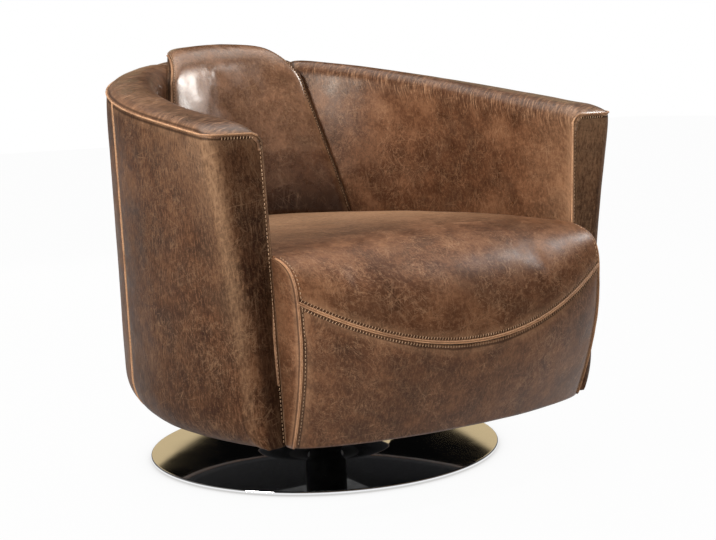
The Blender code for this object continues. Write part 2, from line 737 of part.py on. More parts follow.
RAIL_HALF = inner_half(FRAME_FOOT) + UNDER_LEATHER - FIT
RAIL_FRONT = ARM_FRONT + UNDER_LEATHER + FIT
RAIL_BACK = RAIL_FRONT + FRONT_RAIL_THICK
board("front_rail", (-RAIL_HALF, RAIL_FRONT, FRAME_FOOT), (RAIL_HALF, RAIL_BACK, SEAT_RAIL_TOP))
block_out = min(RAIL_HALF, rail_half(RAIL_BACK), rail_half(RAIL_BACK + BLOCK_LEG)) - SLIDE
for side_name, side in (("left", -1), ("right", 1)):
    outline_of_block = (
        (side * block_out, RAIL_BACK + FIT),
        (side * block_out, RAIL_BACK + FIT + BLOCK_LEG),
        (side * (block_out - BLOCK_LEG), RAIL_BACK + FIT),
    )
    sweep("corner_block_" + side_name, [[(x, y, z) for x, y in outline_of_block]
                                        for z in (FRAME_FOOT, SEAT_RAIL_TOP - RAIL_DEPTH)], BEECH)

# Cloth under the frame, held between the swivel plate and the cross rails
edge = [skin(s, FOOT_ROWS[0], DUST_INSET)[:2] for s in whole]
levels = (COVER_FOOT, COVER_FOOT + DUST_COVER)
cover = sweep("dust_cover", [[(x, y, z) for x, y in edge] for z in levels], CLOTH)
for hole in bolt_holes:
    cut(cover, hole)

# Springs from the front rail to the back of the seat rail
rail_tops = [core(s, sum(seat_rail_span(s, SEAT_RAIL_TOP)) / 2, SEAT_RAIL_TOP) for s in spread(0, 1, 40)]


def spring(name, x):
    """One sinuous spring: a flat wave of wire with a slight arch, its ends lying on the rails."""
    front = (RAIL_FRONT + RAIL_BACK) / 2
    rear = float(np.interp(abs(x), [p[0] for p in rail_tops], [p[1] for p in rail_tops]))
    pitch = (rear - front) / (SPRING_BENDS + 1)
    path = [(x, front)]
    for i in range(1, SPRING_BENDS + 1):
        swing = SPRING_WIDTH / 2 * (1 if i % 2 else -1)
        path.append((x + swing, front + pitch * (i - 0.22)))
        path.append((x + swing, front + pitch * (i + 0.22)))
    path.append((x, rear))
    line = np.array(path)
    along = np.diff(line, axis=0)
    along /= np.linalg.norm(along, axis=1)[:, None]
    normals = np.stack((-along[:, 1], along[:, 0]), axis=1)
    miter = np.vstack((normals[:1], normals)) + np.vstack((normals, normals[-1:]))
    miter = 2 * miter / (miter * miter).sum(axis=1)[:, None]
    rings = []
    for (px, py), (nx, ny) in zip(line, miter):
        z = SPRING_LEVEL + SPRING_ARCH * math.sin(math.pi * (py - front) / (rear - front))
        ring = []
        for i in range(5):
            a = 2 * math.pi * i / 5 + math.pi / 2
            side = SPRING_WIRE / 2 * math.cos(a)
            ring.append((px + nx * side, py + ny * side, z + SPRING_WIRE / 2 * math.sin(a)))
        rings.append(ring)
    sweep(name, rings, STEEL)


for i in range(SPRING_COUNT):
    spring("seat_spring_%d" % (i + 1), SPRING_PITCH * (i - (SPRING_COUNT - 1) / 2))

# Padding of the wall and its leather


def pad_ring(station):
    """Foam between the frame and the lining, hooked over the top rail."""
    foot = cap_foot(station)
    ring = place(station, lined(station, PAD_FOOT, UNDER_LEATHER))
    behind = []
    for z in spread(PAD_FOOT, foot, INNER_STEPS + 1):
        behind.append(core(station, FRAME_SHARE * thickness(station, z) + SOFT_FIT, z))
    hook = core(station, UNDER_LEATHER + FIT, foot)
    return ring + behind + [behind[-1]] * ROLL_STEPS + [hook] * (CROWN_STEPS + 1)


def lining_ring(station):
    """The leather lining: from the rim seam over the crown and down the inside."""
    return place(station, lining(station, PAD_FOOT)) + place(station, lined(station, PAD_FOOT, LEATHER))[::-1]


BOARD_SPAN = (UNDER_LEATHER + FIT, UNDER_LEATHER + FIT + BOARD)


def board_top(station):
    return cap_foot(station) - SOFT_FIT


for side_name, side in (("left", -1), ("right", 1)):
    stations = sided(between(INNER_STATION + PAD_GAP, FRAME_END), side)
    sweep("arm_pad_" + side_name, [pad_ring(s) for s in stations], FOAM, ladder=True)
    stations = between(INNER_STATION + STATION_GAP, FACING_STATION)
    stations += [s for s in CORNER if s < FRONT_END] + [FRONT_END]
    sweep("inside_arm_leather_" + side_name, [lining_ring(s) for s in sided(stations, side)], HIDE,
          ladder=True)
    stations = between(REAR_STATION + STATION_GAP, FRAME_END)
    sheet("outside_arm_board_" + side_name, sided(stations, side), *BOARD_SPAN, board_top, FIBRE)
    stations = between(REAR_STATION + STATION_GAP, FACING_STATION) + CORNER + ACROSS_FRONT
    sheet("outside_arm_leather_" + side_name, sided(stations, side), 0, LEATHER, rim_seam, HIDE)
stations = between(-INNER_STATION, INNER_STATION)
sweep("back_pad", [pad_ring(s) for s in stations], FOAM, ladder=True)
sweep("inside_back_leather", [lining_ring(s) for s in stations], HIDE, ladder=True)
rear = between(-REAR_STATION, REAR_STATION)
sheet("outside_back_board", rear, *BOARD_SPAN, board_top, FIBRE)
sheet("outside_back_leather", rear, 0, LEATHER, rim_seam, HIDE)

# Seat. An edge value runs from -1 at the left arm to 1 at the right one; reach is towards the front.
EDGES = [math.copysign(1 - (1 - abs(e)) ** 1.3, e) for e in spread(-1, 1, 13)]


def seat_half(y, z):
    """Half width of the seat, clear of the wall beside it."""
    turn = clamp((y - SHOULDER) / (inner_back(z) - SHOULDER))
    return inner_half(z) * math.sqrt(1 - turn * turn) - SLIDE


def seat_top(edge, y):
    fall = clamp((y - SEAT_ROLL_START) / (SEAT_REAR - SEAT_ROLL_START))
    return SEAT_HEIGHT - SEAT_EDGE_DROP * edge * edge - SEAT_REAR_DROP * fall * fall


def nose(edge):
    """Foremost line of the seat: its reach along Y and its height."""
    return mix(SEAT_NOSE, SEAT_NOSE_EDGE, abs(edge) ** 2.2), mix(NOSE_HEIGHT, NOSE_HEIGHT_EDGE, edge * edge)


def roll_power(edge):
    return mix(ROLL_POWER, ROLL_POWER_EDGE, edge ** 4)


def profile(edge, g):
    """Seat profile as (reach, z): 0 to 1 along the top, to 2 round the front roll, to 3 down to the foot."""
    front, level = nose(edge)
    if g <= 1:
        y = mix(SEAT_REAR, SEAT_ROLL_START, g)
        return -y, seat_top(edge, y)
    if g <= 2:
        a = (g - 1) * math.pi / 2
        bend = 2 / roll_power(edge)
        y = SEAT_ROLL_START - (SEAT_ROLL_START - front) * math.sin(a) ** bend
        rise = seat_top(edge, SEAT_ROLL_START) - level
        return -y, level + rise * max(math.cos(a), 0.0) ** bend
    return -front - NOSE_TUCK * (g - 2) ** 1.6, mix(level, WALL_FOOT, g - 2)


def smile(edge):
    """Where the curved seam crosses the front roll, as a profile position."""
    _, level = nose(edge)
    rise = seat_top(edge, SEAT_ROLL_START) - level
    share = clamp((mix(SMILE_LOW, SMILE_HIGH, edge * edge) - level) / rise)
    return 1 + math.acos(share ** (roll_power(edge) / 2)) * 2 / math.pi


def seat_rows(edge):
    """Profile rows of the top panel and of the front panel, meeting at the curved seam."""
    seam = smile(edge)
    above = [profile(edge, share ** 1.8) for share in spread(0, 1, 7)[:-1]]
    above += [profile(edge, 1 + (seam - 1) * share ** 1.5) for share in spread(0, 1, 7)]
    below = [profile(edge, g) for g in spread(seam, 3, 8)[1:]]
    return np.array(above + below), len(above)


def on_seat(edge, rows):
    return [(edge * seat_half(-r, z), -r, z) for r, z in rows]


top_rings, front_rings, foam_rings = [], [], []
for e in EDGES:
    rows, count = seat_rows(e)
    under = rows + inward(rows) * LEATHER
    gap = rows[count] - rows[count - 1]
    gap = gap / np.linalg.norm(gap) * FIT
    first, last = rows[count - 1:count] + gap, under[count - 1:count] + gap
    top_rings.append(on_seat(e, rows[:count]) + on_seat(e, under[:count])[::-1])
    face, back = np.vstack((first, rows[count:])), np.vstack((last, under[count:]))
    front_rings.append(on_seat(e, face) + on_seat(e, back)[::-1])
    deep = rows + inward(rows) * UNDER_LEATHER
    under_nose = [(-ARM_FRONT + 2 * SOFT_FIT, deep[-1, 1]), (-ARM_FRONT + 2 * SOFT_FIT, SEAT_FOAM_FOOT),
                  (-SEAT_ROLL_START, SEAT_FOAM_FOOT), (-SHOULDER, SEAT_FOAM_FOOT), (0, SEAT_FOAM_FOOT),
                  (mix(0, -SEAT_REAR, 0.5), SEAT_FOAM_FOOT), (-SEAT_REAR, SEAT_FOAM_FOOT)]
    foam_rings.append(on_seat(e, np.vstack((deep, under_nose))))
sweep("seat_top_leather", top_rings, HIDE, ladder=True)
sweep("seat_front_leather", front_rings, HIDE, ladder=True)
sweep("seat_foam", foam_rings, FOAM)

pad_line = [(-y, SPRING_PAD_FOOT) for y in spread(RAIL_FRONT, SEAT_REAR, 8)]
pad_line += [(r, z + SPRING_PAD) for r, z in reversed(pad_line)]
sweep("spring_pad", [on_seat(e, pad_line) for e in EDGES], FELT, ladder=True)

roll_share = (SEAT_ROLL_START - ARM_FRONT + RIM_DROP) / (SEAT_ROLL_START - SEAT_NOSE_EDGE)
gusset_first = 1 + math.asin(roll_share ** (ROLL_POWER_EDGE / 2)) * 2 / math.pi
for side_name, side in (("left", -1), ("right", 1)):
    rings = []
    for g in spread(gusset_first, 2, 6) + spread(2, 3, 5)[1:]:
        reach, z = profile(1, g)
        near = side * (seat_half(-reach, z) + SOFT_FIT)
        far = near + side * LEATHER
        back = ARM_FRONT - SOFT_FIT
        rings.append([(near, back, z), (near, -reach, z), (far, -reach, z), (far, back, z)])
    sweep("seat_gusset_" + side_name, rings, HIDE)

# Back cushion: a tongue that lies on the lining, rises over the rim and rolls onto the crown
CUSHION_FOOT = seat_top(0, inner_back(SEAT_HEIGHT) - CUSHION_FOOT_THICK) + SLIDE
COLUMNS = [math.copysign(1 - (1 - abs(e)) ** 1.3, e) for e in spread(-1, 1, 11)]
FIRST_ROW = 2


def cushion_line(column, lift):
    """One line of the cushion from its tail on the crown to its foot, lifted off the lining."""
    points = []
    for i in range(FIRST_ROW, INNER_FIRST + INNER_STEPS + 1):
        over = clamp((INNER_FIRST - i) / (INNER_FIRST - FIRST_ROW))
        station = 0.0
        for _ in range(3):
            depth, z = lining(station, CUSHION_FOOT)[i]
            rise = clamp((z - CUSHION_FOOT) / (rim(station) - RIM_ROLL - CUSHION_FOOT))
            half = mix(CUSHION_FOOT_HALF, CUSHION_BROW_HALF, rise ** CUSHION_WAIST)
            half = mix(half, CUSHION_TAIL_HALF, over ** CUSHION_TURN)
            wide = mix(ARM_SPAN / 2, inner_half(z), depth / thickness(station, z))
            station = math.asin((column * half + CUSHION_SHIFT) / wide) * 2 / math.pi
        rows = lining(station, CUSHION_FOOT)
        thick = mix(CUSHION_FOOT_THICK, CUSHION_BROW_THICK, rise)
        if over:
            thick = mix(CUSHION_BROW_THICK, CUSHION_HEAD_THICK, clamp(over / 0.55))
        if i == FIRST_ROW:
            thick = CUSHION_TAIL_THICK
        thick = mix(thick, CUSHION_EDGE_THICK, min(abs(column), 1) ** CUSHION_EDGE_POWER)
        depth, z = rows[i] - inward(rows)[i] * lift(thick)
        points.append(core(station, depth, z))
    return points


def cushion_layer(name, columns, low, high, look):
    rings = [cushion_line(c, low) + cushion_line(c, high)[::-1] for c in columns]
    return sweep(name, rings, look, ladder=True)


def layer_at(inset):
    return lambda thick: CUSHION_GAP + inset


def layer_under(inset):
    return lambda thick: CUSHION_GAP + thick - inset


cushion_layer("cushion_lining", COLUMNS, layer_at(0), layer_at(LINING), CLOTH)
cushion_layer("cushion_foam", COLUMNS, layer_at(LINING + SOFT_FIT), layer_under(UNDER_LEATHER), FOAM)
cushion_layer("cushion_front_leather", COLUMNS, layer_under(LEATHER), layer_under(0), HIDE)
side_gap = 1 + SLIDE / CUSHION_TAIL_HALF
side_end = side_gap + LEATHER / CUSHION_TAIL_HALF
cushion_layer("cushion_gusset_left", [-side_end, -side_gap], layer_at(0), layer_under(0), HIDE)
cushion_layer("cushion_gusset_right", [side_gap, side_end], layer_at(0), layer_under(0), HIDE)
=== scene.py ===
"""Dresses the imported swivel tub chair: leather panels with raw-edged seams and stitching, polished base,
floor, light and camera. Metres, +Z up, seat front towards -Y."""
import json
import math

import bpy
import numpy as np
from mathutils import Matrix, Vector, noise
from mathutils.bvhtree import BVHTree


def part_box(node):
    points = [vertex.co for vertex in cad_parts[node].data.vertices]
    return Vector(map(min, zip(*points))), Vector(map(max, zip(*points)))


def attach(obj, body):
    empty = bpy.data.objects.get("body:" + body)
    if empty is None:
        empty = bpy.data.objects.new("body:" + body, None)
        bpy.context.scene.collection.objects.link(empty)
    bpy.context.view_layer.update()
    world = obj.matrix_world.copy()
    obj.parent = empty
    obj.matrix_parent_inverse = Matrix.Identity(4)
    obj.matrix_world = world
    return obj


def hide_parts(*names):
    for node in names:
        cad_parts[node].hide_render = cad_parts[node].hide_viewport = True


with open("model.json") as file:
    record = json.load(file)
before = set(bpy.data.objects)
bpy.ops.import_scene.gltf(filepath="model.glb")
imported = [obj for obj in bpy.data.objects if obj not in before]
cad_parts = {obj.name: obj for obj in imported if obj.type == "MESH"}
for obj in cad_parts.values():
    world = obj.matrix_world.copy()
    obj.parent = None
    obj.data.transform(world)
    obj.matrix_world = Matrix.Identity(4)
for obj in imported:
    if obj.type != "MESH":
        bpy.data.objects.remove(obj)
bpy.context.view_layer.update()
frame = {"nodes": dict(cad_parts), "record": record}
SIDES = (("left", -1), ("right", 1))

# Sizes shared with the solids
LEATHER, SOFT_FIT, SLIDE = 0.0024, 0.0008, 0.002
ARM_SPAN, BASE_SPAN, FRONT_TAPER, TAPER_START, FLARE_POWER = 0.788, 0.772, 0.052, -0.120, 1.6
ARM_FRONT, SHOULDER, BACK_REACH = -0.370, -0.155, 0.398
ARM_HEIGHT, BACK_HEIGHT, RIM_SAG, ARM_CORNER = 0.611, 0.729, 0.007, 0.022
UNDERCUT, UNDERCUT_HEIGHT = 0.036, 0.060
INNER_SPAN_TOP, INNER_SPAN_BASE, INNER_BACK_TOP, INNER_BACK_BASE = 0.600, 0.562, 0.334, 0.268
RIM_DROP, CROWN_SHARE, RIM_ROLL, RIM_ROLL_FRONT, FRONT_EASE = 0.011, 0.35, 0.028, 0.015, 0.050
REAR_STATION, INNER_STATION = 1 - 18 / 90, 1 - 66 / 90
SEAT_HEIGHT, SEAT_EDGE_DROP, SEAT_REAR_DROP, SEAT_REAR = 0.425, 0.008, 0.012, 0.248
SEAT_ROLL_START, SEAT_NOSE, SEAT_NOSE_EDGE, NOSE_POWER = -0.250, -0.490, -0.441, 2.2
NOSE_HEIGHT, NOSE_HEIGHT_EDGE, NOSE_TUCK, TUCK_POWER = 0.263, 0.300, 0.050, 1.6
ROLL_POWER, ROLL_POWER_EDGE, ROLL_POWER_EASE = 3.0, 5.0, 4
SMILE_LOW, SMILE_HIGH = 0.267, 0.352
CUSHION_FOOT_HALF, CUSHION_BROW_HALF, CUSHION_TAIL_HALF = 0.211, 0.158, 0.090
CUSHION_WAIST, CUSHION_FOOT_THICK, CUSHION_BROW_THICK = 1.2, 0.064, 0.032
CUSHION_HEAD_THICK, CUSHION_TAIL_THICK = 0.023, 0.022
CUSHION_GAP, CUSHION_EDGE_THICK, CUSHION_EDGE_POWER, CUSHION_SHIFT = 0.002, 0.012, 2.3, -0.020
CUSHION_STUFFING, CUSHION_LEVEL, CUSHION_SETTLE = 0.020, 0.010, 0.014
DISC_RADIUS, DISC_EDGE, DISC_RISE, FLANGE_RADIUS = 0.322, 0.006, 0.011, 0.070
COLUMN_RADIUS, FLANGE_THICK = 0.038, 0.008

WALL_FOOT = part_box("outside_back_leather")[0][2]
PAD_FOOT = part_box("inside_back_leather")[0][2]
CUSHION_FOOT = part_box("cushion_lining")[0][2]
DISC_FOOT, DISC_TOP = (corner[2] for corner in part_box("base_disc"))
COLUMN_FOOT, COLUMN_TOP = (corner[2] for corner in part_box("pedestal_column"))


def mix(a, b, t):
    return a + (b - a) * t


def clamp(t):
    return np.clip(t, 0.0, 1.0)


def ramp(value, start, stop):
    """0 at start to 1 at stop, and level beyond them."""
    return clamp((value - start) / (stop - start))


def unit(vectors):
    return vectors / np.maximum(np.linalg.norm(vectors, axis=-1), 1e-12)[..., None]


def crowded(count, power):
    """A column of numbers from -1 to 1 that lie closer together towards both ends."""
    at = np.linspace(-1, 1, count)
    return (np.sign(at) * (1 - (1 - np.abs(at)) ** power))[:, None]


def steps(start, *legs):
    """Numbers in even steps. Each leg says how many it has, both its ends counted, and where it stops."""
    made = [[start]]
    for count, stop in legs:
        made.append(np.linspace(start, stop, count)[1:])
        start = stop
    return np.concatenate(made)


# The tub wall, by station: 0 back middle, 1 shoulder, 2 front corner, 3 arm front, 4 inner edge of that front
STATION_STEP = 0.01


def station_y(s):
    s = np.abs(s)
    back = SHOULDER + (BACK_REACH - SHOULDER) * np.cos(np.minimum(s, 1) * math.pi / 2)
    arm = mix(SHOULDER, ARM_FRONT + ARM_CORNER, s - 1)
    corner = ARM_FRONT + ARM_CORNER * (1 - np.cos((3 - s) * math.pi / 2))
    return np.select([s <= 1, s <= 2, s <= 3], [back, arm, corner], ARM_FRONT)


def rim(s):
    t = (station_y(s) - ARM_FRONT) / (BACK_REACH - ARM_FRONT)
    return mix(ARM_HEIGHT, BACK_HEIGHT, t) - RIM_SAG * 4 * t * (1 - t)


def off_front(s):
    """0 at the arm fronts to 1 a little behind them."""
    return clamp((station_y(s) - ARM_FRONT) / FRONT_EASE)


def rim_drop(s):
    """Outer rim seam below the crown, which settles to nothing at the arm fronts."""
    return RIM_DROP * (1 - (1 - off_front(s)) ** 2)


def rim_roll(s):
    """Round of the inner rim, which tightens towards the arm fronts."""
    return mix(RIM_ROLL_FRONT, RIM_ROLL, off_front(s))


def half_width(y, z, top):
    t = ramp(y, TAPER_START, ARM_FRONT)
    foot = BASE_SPAN / 2 - FRONT_TAPER * t * t
    return mix(foot, ARM_SPAN / 2, ramp(z, WALL_FOOT, top) ** FLARE_POWER)


def inner_half(z):
    return mix(INNER_SPAN_BASE, INNER_SPAN_TOP, (z - WALL_FOOT) / (ARM_HEIGHT - WALL_FOOT)) / 2


def inner_back(z):
    return mix(INNER_BACK_BASE, INNER_BACK_TOP, (z - WALL_FOOT) / (BACK_HEIGHT - WALL_FOOT))


def outline(s, z):
    a = np.abs(s)
    y = station_y(s) + 0 * z
    half = half_width(y, z, rim(s))
    back = half * np.sin(np.minimum(a, 1) * math.pi / 2)
    corner = half - ARM_CORNER * (1 - np.sin((3 - a) * math.pi / 2))
    front = mix(half - ARM_CORNER, inner_half(z), a - 3)
    x = np.select([a <= 1, a <= 2, a <= 3], [back, half, corner], front)
    return np.stack((np.sign(s) * x, y), axis=-1)


def facing_out(s, z):
    along = outline(np.minimum(s + STATION_STEP, 4), z) - outline(np.maximum(s - STATION_STEP, -4), z)
    return unit(np.stack((-along[..., 1], along[..., 0]), axis=-1))


def outward(s, z, rise=0.0):
    """Way out of the wall, rising a little if need be."""
    return np.insert(facing_out(s, z), 2, rise, axis=1)


def outside(s, z):
    t = clamp((WALL_FOOT + UNDERCUT_HEIGHT - z) / UNDERCUT_HEIGHT)
    inset = UNDERCUT * (1 - np.sqrt(np.maximum(0.0, 1 - t * t)))
    a = np.abs(s)
    back = facing_out(s, z) * inset[..., None]
    inset = inset * np.where(a > 2, clamp(3 - a), 1.0)
    arm = np.stack((np.sign(s) * inset, 0 * inset), axis=-1)
    return outline(s, z) - np.where((a <= 1)[..., None], back, arm)


def skin(s, z, depth=0.0):
    """A point of the outside hide, or one that lies deeper."""
    s, z, depth = np.broadcast_arrays(np.asarray(s, float), z, depth)
    level = outside(s, z) - facing_out(s, z) * depth[..., None]
    return np.concatenate((level, z[..., None]), axis=-1)


def across(s, z):
    """Where the wall starts outside, its way in, and how thick it is."""
    outer = outside(s, z)
    half = inner_half(z)
    a = np.minimum(np.abs(s), 1)
    round_x = half * np.sin(a * math.pi / 2) * np.sign(s)
    round_y = SHOULDER + (inner_back(z) - SHOULDER) * np.cos(a * math.pi / 2)
    back = np.abs(s) <= 1
    inner_x = np.where(back, round_x, np.sign(s) * half)
    inner_y = np.where(back, round_y, outer[..., 1])
    way = np.stack((inner_x, inner_y), axis=-1) - outer
    length = np.linalg.norm(way, axis=-1)
    return outer, way / length[..., None], length


def core(s, depth, z):
    """A point inside the wall."""
    s, depth, z = np.broadcast_arrays(np.asarray(s, float), depth, z)
    outer, way, _ = across(s, z)
    return np.concatenate((outer + way * depth[..., None], z[..., None]), axis=-1)


def thickness(s, z):
    return across(s, z)[2]


def lining(s, q, low):
    """Section of the lining as depth and z: q 0 to 1 crown, to 2 flat, to 3 roll, to 4 down the inside."""
    s, q = np.broadcast_arrays(np.asarray(s, float), np.asarray(q, float))
    drop, roll = rim_drop(s), rim_roll(s)
    top = rim(s) - RIM_DROP + drop
    wide = thickness(s, top - roll)
    crown = CROWN_SHARE * wide
    a = clamp(q) * math.pi / 2
    b = clamp(q - 2) * math.pi / 2
    down = mix(top - roll, low, clamp(q - 3))
    zones = [q <= 1, q <= 2, q <= 3]
    depths = [crown * (1 - np.cos(a)), mix(crown, wide - roll, q - 1), wide - roll * (1 - np.sin(b))]
    heights = [top - drop * (1 - np.sin(a)), top, top - roll * (1 - np.cos(b))]
    return np.select(zones, depths, thickness(s, down)), np.select(zones, heights, down)


def lining_point(s, q, low):
    return core(s, *lining(s, q, low))


# The seat, by edge (-1 left arm to 1 right arm) and profile position: 1 end of the top, 2 nose, 3 foot


def seat_half(y, z):
    turn = ramp(y, SHOULDER, inner_back(z))
    return inner_half(z) * np.sqrt(1 - turn * turn) - SLIDE


def seat_top(e, y):
    fall = ramp(y, SEAT_ROLL_START, SEAT_REAR)
    return SEAT_HEIGHT - SEAT_EDGE_DROP * e * e - SEAT_REAR_DROP * fall * fall


def nose(e):
    return mix(SEAT_NOSE, SEAT_NOSE_EDGE, np.abs(e) ** NOSE_POWER), mix(NOSE_HEIGHT, NOSE_HEIGHT_EDGE, e * e)


def roll_power(e):
    return mix(ROLL_POWER, ROLL_POWER_EDGE, np.abs(e) ** ROLL_POWER_EASE)


def seat_point(e, g):
    e, g = np.broadcast_arrays(np.asarray(e, float), np.asarray(g, float))
    front, level = nose(e)
    bend = 2 / roll_power(e)
    y_top = mix(SEAT_REAR, SEAT_ROLL_START, clamp(g))
    a = clamp(g - 1) * math.pi / 2
    y_roll = SEAT_ROLL_START - (SEAT_ROLL_START - front) * np.sin(a) ** bend
    z_roll = level + (seat_top(e, SEAT_ROLL_START) - level) * np.maximum(np.cos(a), 0.0) ** bend
    low = clamp(g - 2)
    y = np.select([g <= 1, g <= 2], [y_top, y_roll], front + NOSE_TUCK * low ** TUCK_POWER)
    z = np.select([g <= 1, g <= 2], [seat_top(e, y_top), z_roll], mix(level, WALL_FOOT, low))
    return np.stack((e * seat_half(y, z), y, z), axis=-1)


def smile(e):
    """Profile position of the curved seam between the seat's top and its front."""
    _, level = nose(e)
    rise = seat_top(e, SEAT_ROLL_START) - level
    share = clamp((mix(SMILE_LOW, SMILE_HIGH, e * e) - level) / rise)
    return 1 + np.arccos(share ** (roll_power(e) / 2)) * 2 / math.pi


# The back cushion, by column (-1 to 1) and lining position
CUSHION_TAIL = 2 / 3
OVER_PLACES, OVER_SHARES = (CUSHION_TAIL, 1, 2, 3, 4), (1, 0.833, 0.667, 0, 0)
HEAD_END, TAIL_START, STUFFING_END, LEVEL_END, LEVEL_MIDDLE = 0.55, 0.85, 0.7, 0.6, 0.4
LINING_STEP = 0.02


def cushion_point(c, q, share=1.0):
    """A point of the cushion: share 0 is its back on the lining, 1 its front."""
    c, q = np.broadcast_arrays(np.asarray(c, float), np.asarray(q, float))
    over = np.interp(q, OVER_PLACES, OVER_SHARES)
    s = 0 * c
    for _ in range(4):
        depth, z = lining(s, q, CUSHION_FOOT)
        rise = ramp(z, CUSHION_FOOT, rim(s) - RIM_ROLL)
        half = mix(CUSHION_FOOT_HALF, CUSHION_BROW_HALF, rise ** CUSHION_WAIST)
        half = mix(half, CUSHION_TAIL_HALF, over)
        wide = mix(ARM_SPAN / 2, inner_half(z), depth / thickness(s, z))
        s = np.arcsin(np.clip((c * half + CUSHION_SHIFT) / wide, -1, 1)) * 2 / math.pi
    head = mix(CUSHION_BROW_THICK, CUSHION_HEAD_THICK, clamp(over / HEAD_END))
    head = mix(head, CUSHION_TAIL_THICK, ramp(over, TAIL_START, 1))
    thick = np.where(over > 0, head, mix(CUSHION_FOOT_THICK, CUSHION_BROW_THICK, rise))
    thick = thick + CUSHION_STUFFING * (1 - c * c) * clamp(1 - over / STUFFING_END)
    thick = thick + CUSHION_LEVEL * (c * c - LEVEL_MIDDLE) * clamp(over / LEVEL_END)
    rounding = clamp(1 - np.abs(c) ** CUSHION_EDGE_POWER) ** (1 / CUSHION_EDGE_POWER)
    thick = mix(CUSHION_EDGE_THICK, thick, rounding)
    d0, z0 = lining(s, q - LINING_STEP, CUSHION_FOOT)
    d1, z1 = lining(s, q + LINING_STEP, CUSHION_FOOT)
    length = np.hypot(d1 - d0, z1 - z0)
    out_d, out_z = -(z1 - z0) / length, (d1 - d0) / length
    reach = CUSHION_GAP + share * thick
    return core(s, depth + out_d * reach, z + out_z * reach)


# Node materials


class Graph:
    """A few short words for building a node tree."""

    def __init__(self, owner):
        owner.use_nodes = True
        self.tree = owner.node_tree

    def set(self, socket, value):
        if isinstance(value, bpy.types.NodeSocket):
            self.tree.links.new(value, socket)
        else:
            socket.default_value = value

    def tint(self, socket, colour):
        self.set(socket, colour if isinstance(colour, bpy.types.NodeSocket) else (*colour, 1))

    def node(self, kind, inputs=(), **settings):
        made = self.tree.nodes.new("ShaderNode" + kind)
        for key, value in settings.items():
            setattr(made, key, value)
        for key, value in dict(inputs).items():
            self.set(made.inputs[key], value)
        return made

    def math(self, operation, a, b=0.0):
        return self.node("Math", {0: a, 1: b}, operation=operation).outputs[0]

    def times(self, a, b):
        return self.math("MULTIPLY", a, b)

    def plus(self, a, b):
        return self.math("ADD", a, b)

    def most(self, a, b):
        return self.math("MAXIMUM", a, b)

    def apart(self, a, b):
        return self.math("ABSOLUTE", self.math("SUBTRACT", a, b))

    def vector(self, operation, a, b=(0, 0, 0), output=0):
        return self.node("VectorMath", {0: a, 1: b}, operation=operation).outputs[output]

    def map(self, value, low, high, to_low=0.0, to_high=1.0):
        made = self.node("MapRange", {"Value": value, "From Min": low, "From Max": high,
                                      "To Min": to_low, "To Max": to_high})
        return made.outputs["Result"]

    def noise(self, vector, scale, detail=4.0, rough=0.55, twist=0.0):
        made = self.node("TexNoise", {"Vector": vector, "Scale": scale, "Detail": detail,
                                      "Roughness": rough, "Distortion": twist})
        return made.outputs["Fac"]

    def cells(self, vector, scale, feature="DISTANCE_TO_EDGE"):
        made = self.node("TexVoronoi", {"Vector": vector, "Scale": scale}, feature=feature)
        return made.outputs["Distance"]

    def stretched(self, vector, scale, turn=0.0):
        inputs = {"Vector": vector, "Scale": [1 / s for s in scale], "Rotation": (0, 0, math.radians(turn))}
        return self.node("Mapping", inputs, vector_type="TEXTURE").outputs["Vector"]

    def mix(self, factor, a, b):
        made = self.node("Mix", data_type="RGBA")
        self.set(made.inputs["Factor"], factor)
        self.tint(made.inputs[6], a)
        self.tint(made.inputs[7], b)
        return made.outputs[2]

    def bump(self, height, strength, distance, normal=None):
        made = self.node("Bump", {"Height": height, "Strength": strength, "Distance": distance})
        if normal:
            self.set(made.inputs["Normal"], normal)
        return made.outputs["Normal"]

    def blend(self, factor, a, b):
        return self.node("MixShader", {0: factor, 1: a, 2: b}).outputs[0]


class Look(Graph):
    """The node tree of a material, with its colour so far."""

    def __init__(self, name, colour=None):
        self.material = bpy.data.materials.new(name)
        super().__init__(self.material)
        self.shader = self.tree.nodes["Principled BSDF"]
        self.colour = colour

    def place(self):
        return self.node("TexCoord").outputs["Object"]

    def lay(self, amount, tone):
        """Lays a tone over the colour so far."""
        self.colour = self.mix(amount, self.colour, tone)

    def finish(self, rough, normal=None, metallic=0.0, **sockets):
        self.tint(self.shader.inputs["Base Color"], self.colour)
        self.set(self.shader.inputs["Roughness"], rough)
        self.shader.inputs["Metallic"].default_value = metallic
        if normal:
            self.set(self.shader.inputs["Normal"], normal)
        for key, value in sockets.items():
            self.shader.inputs[key].default_value = value
        return self.material


DARK, BROWN = np.array((0.042, 0.0165, 0.0080)), np.array((0.112, 0.047, 0.0225))
LIGHT, TAN = np.array((0.225, 0.110, 0.0560)), np.array((0.42, 0.245, 0.14))
SMOKE = np.array((0.050, 0.027, 0.0165))
STITCH_GAP = 0.0054
# Scale and line width of each set of veins
VEIN_SETS = ((21.0, 0.012), (46.0, 0.016))
# Turn in degrees, cells per metre across and along, and line width of each set of scratches
SCRATCH_SETS = ((24, (60, 9, 1), 0.022), (-38, (52, 8, 1), 0.020), (71, (46, 9, 1), 0.020),
                (6, (95, 12, 1), 0.03))


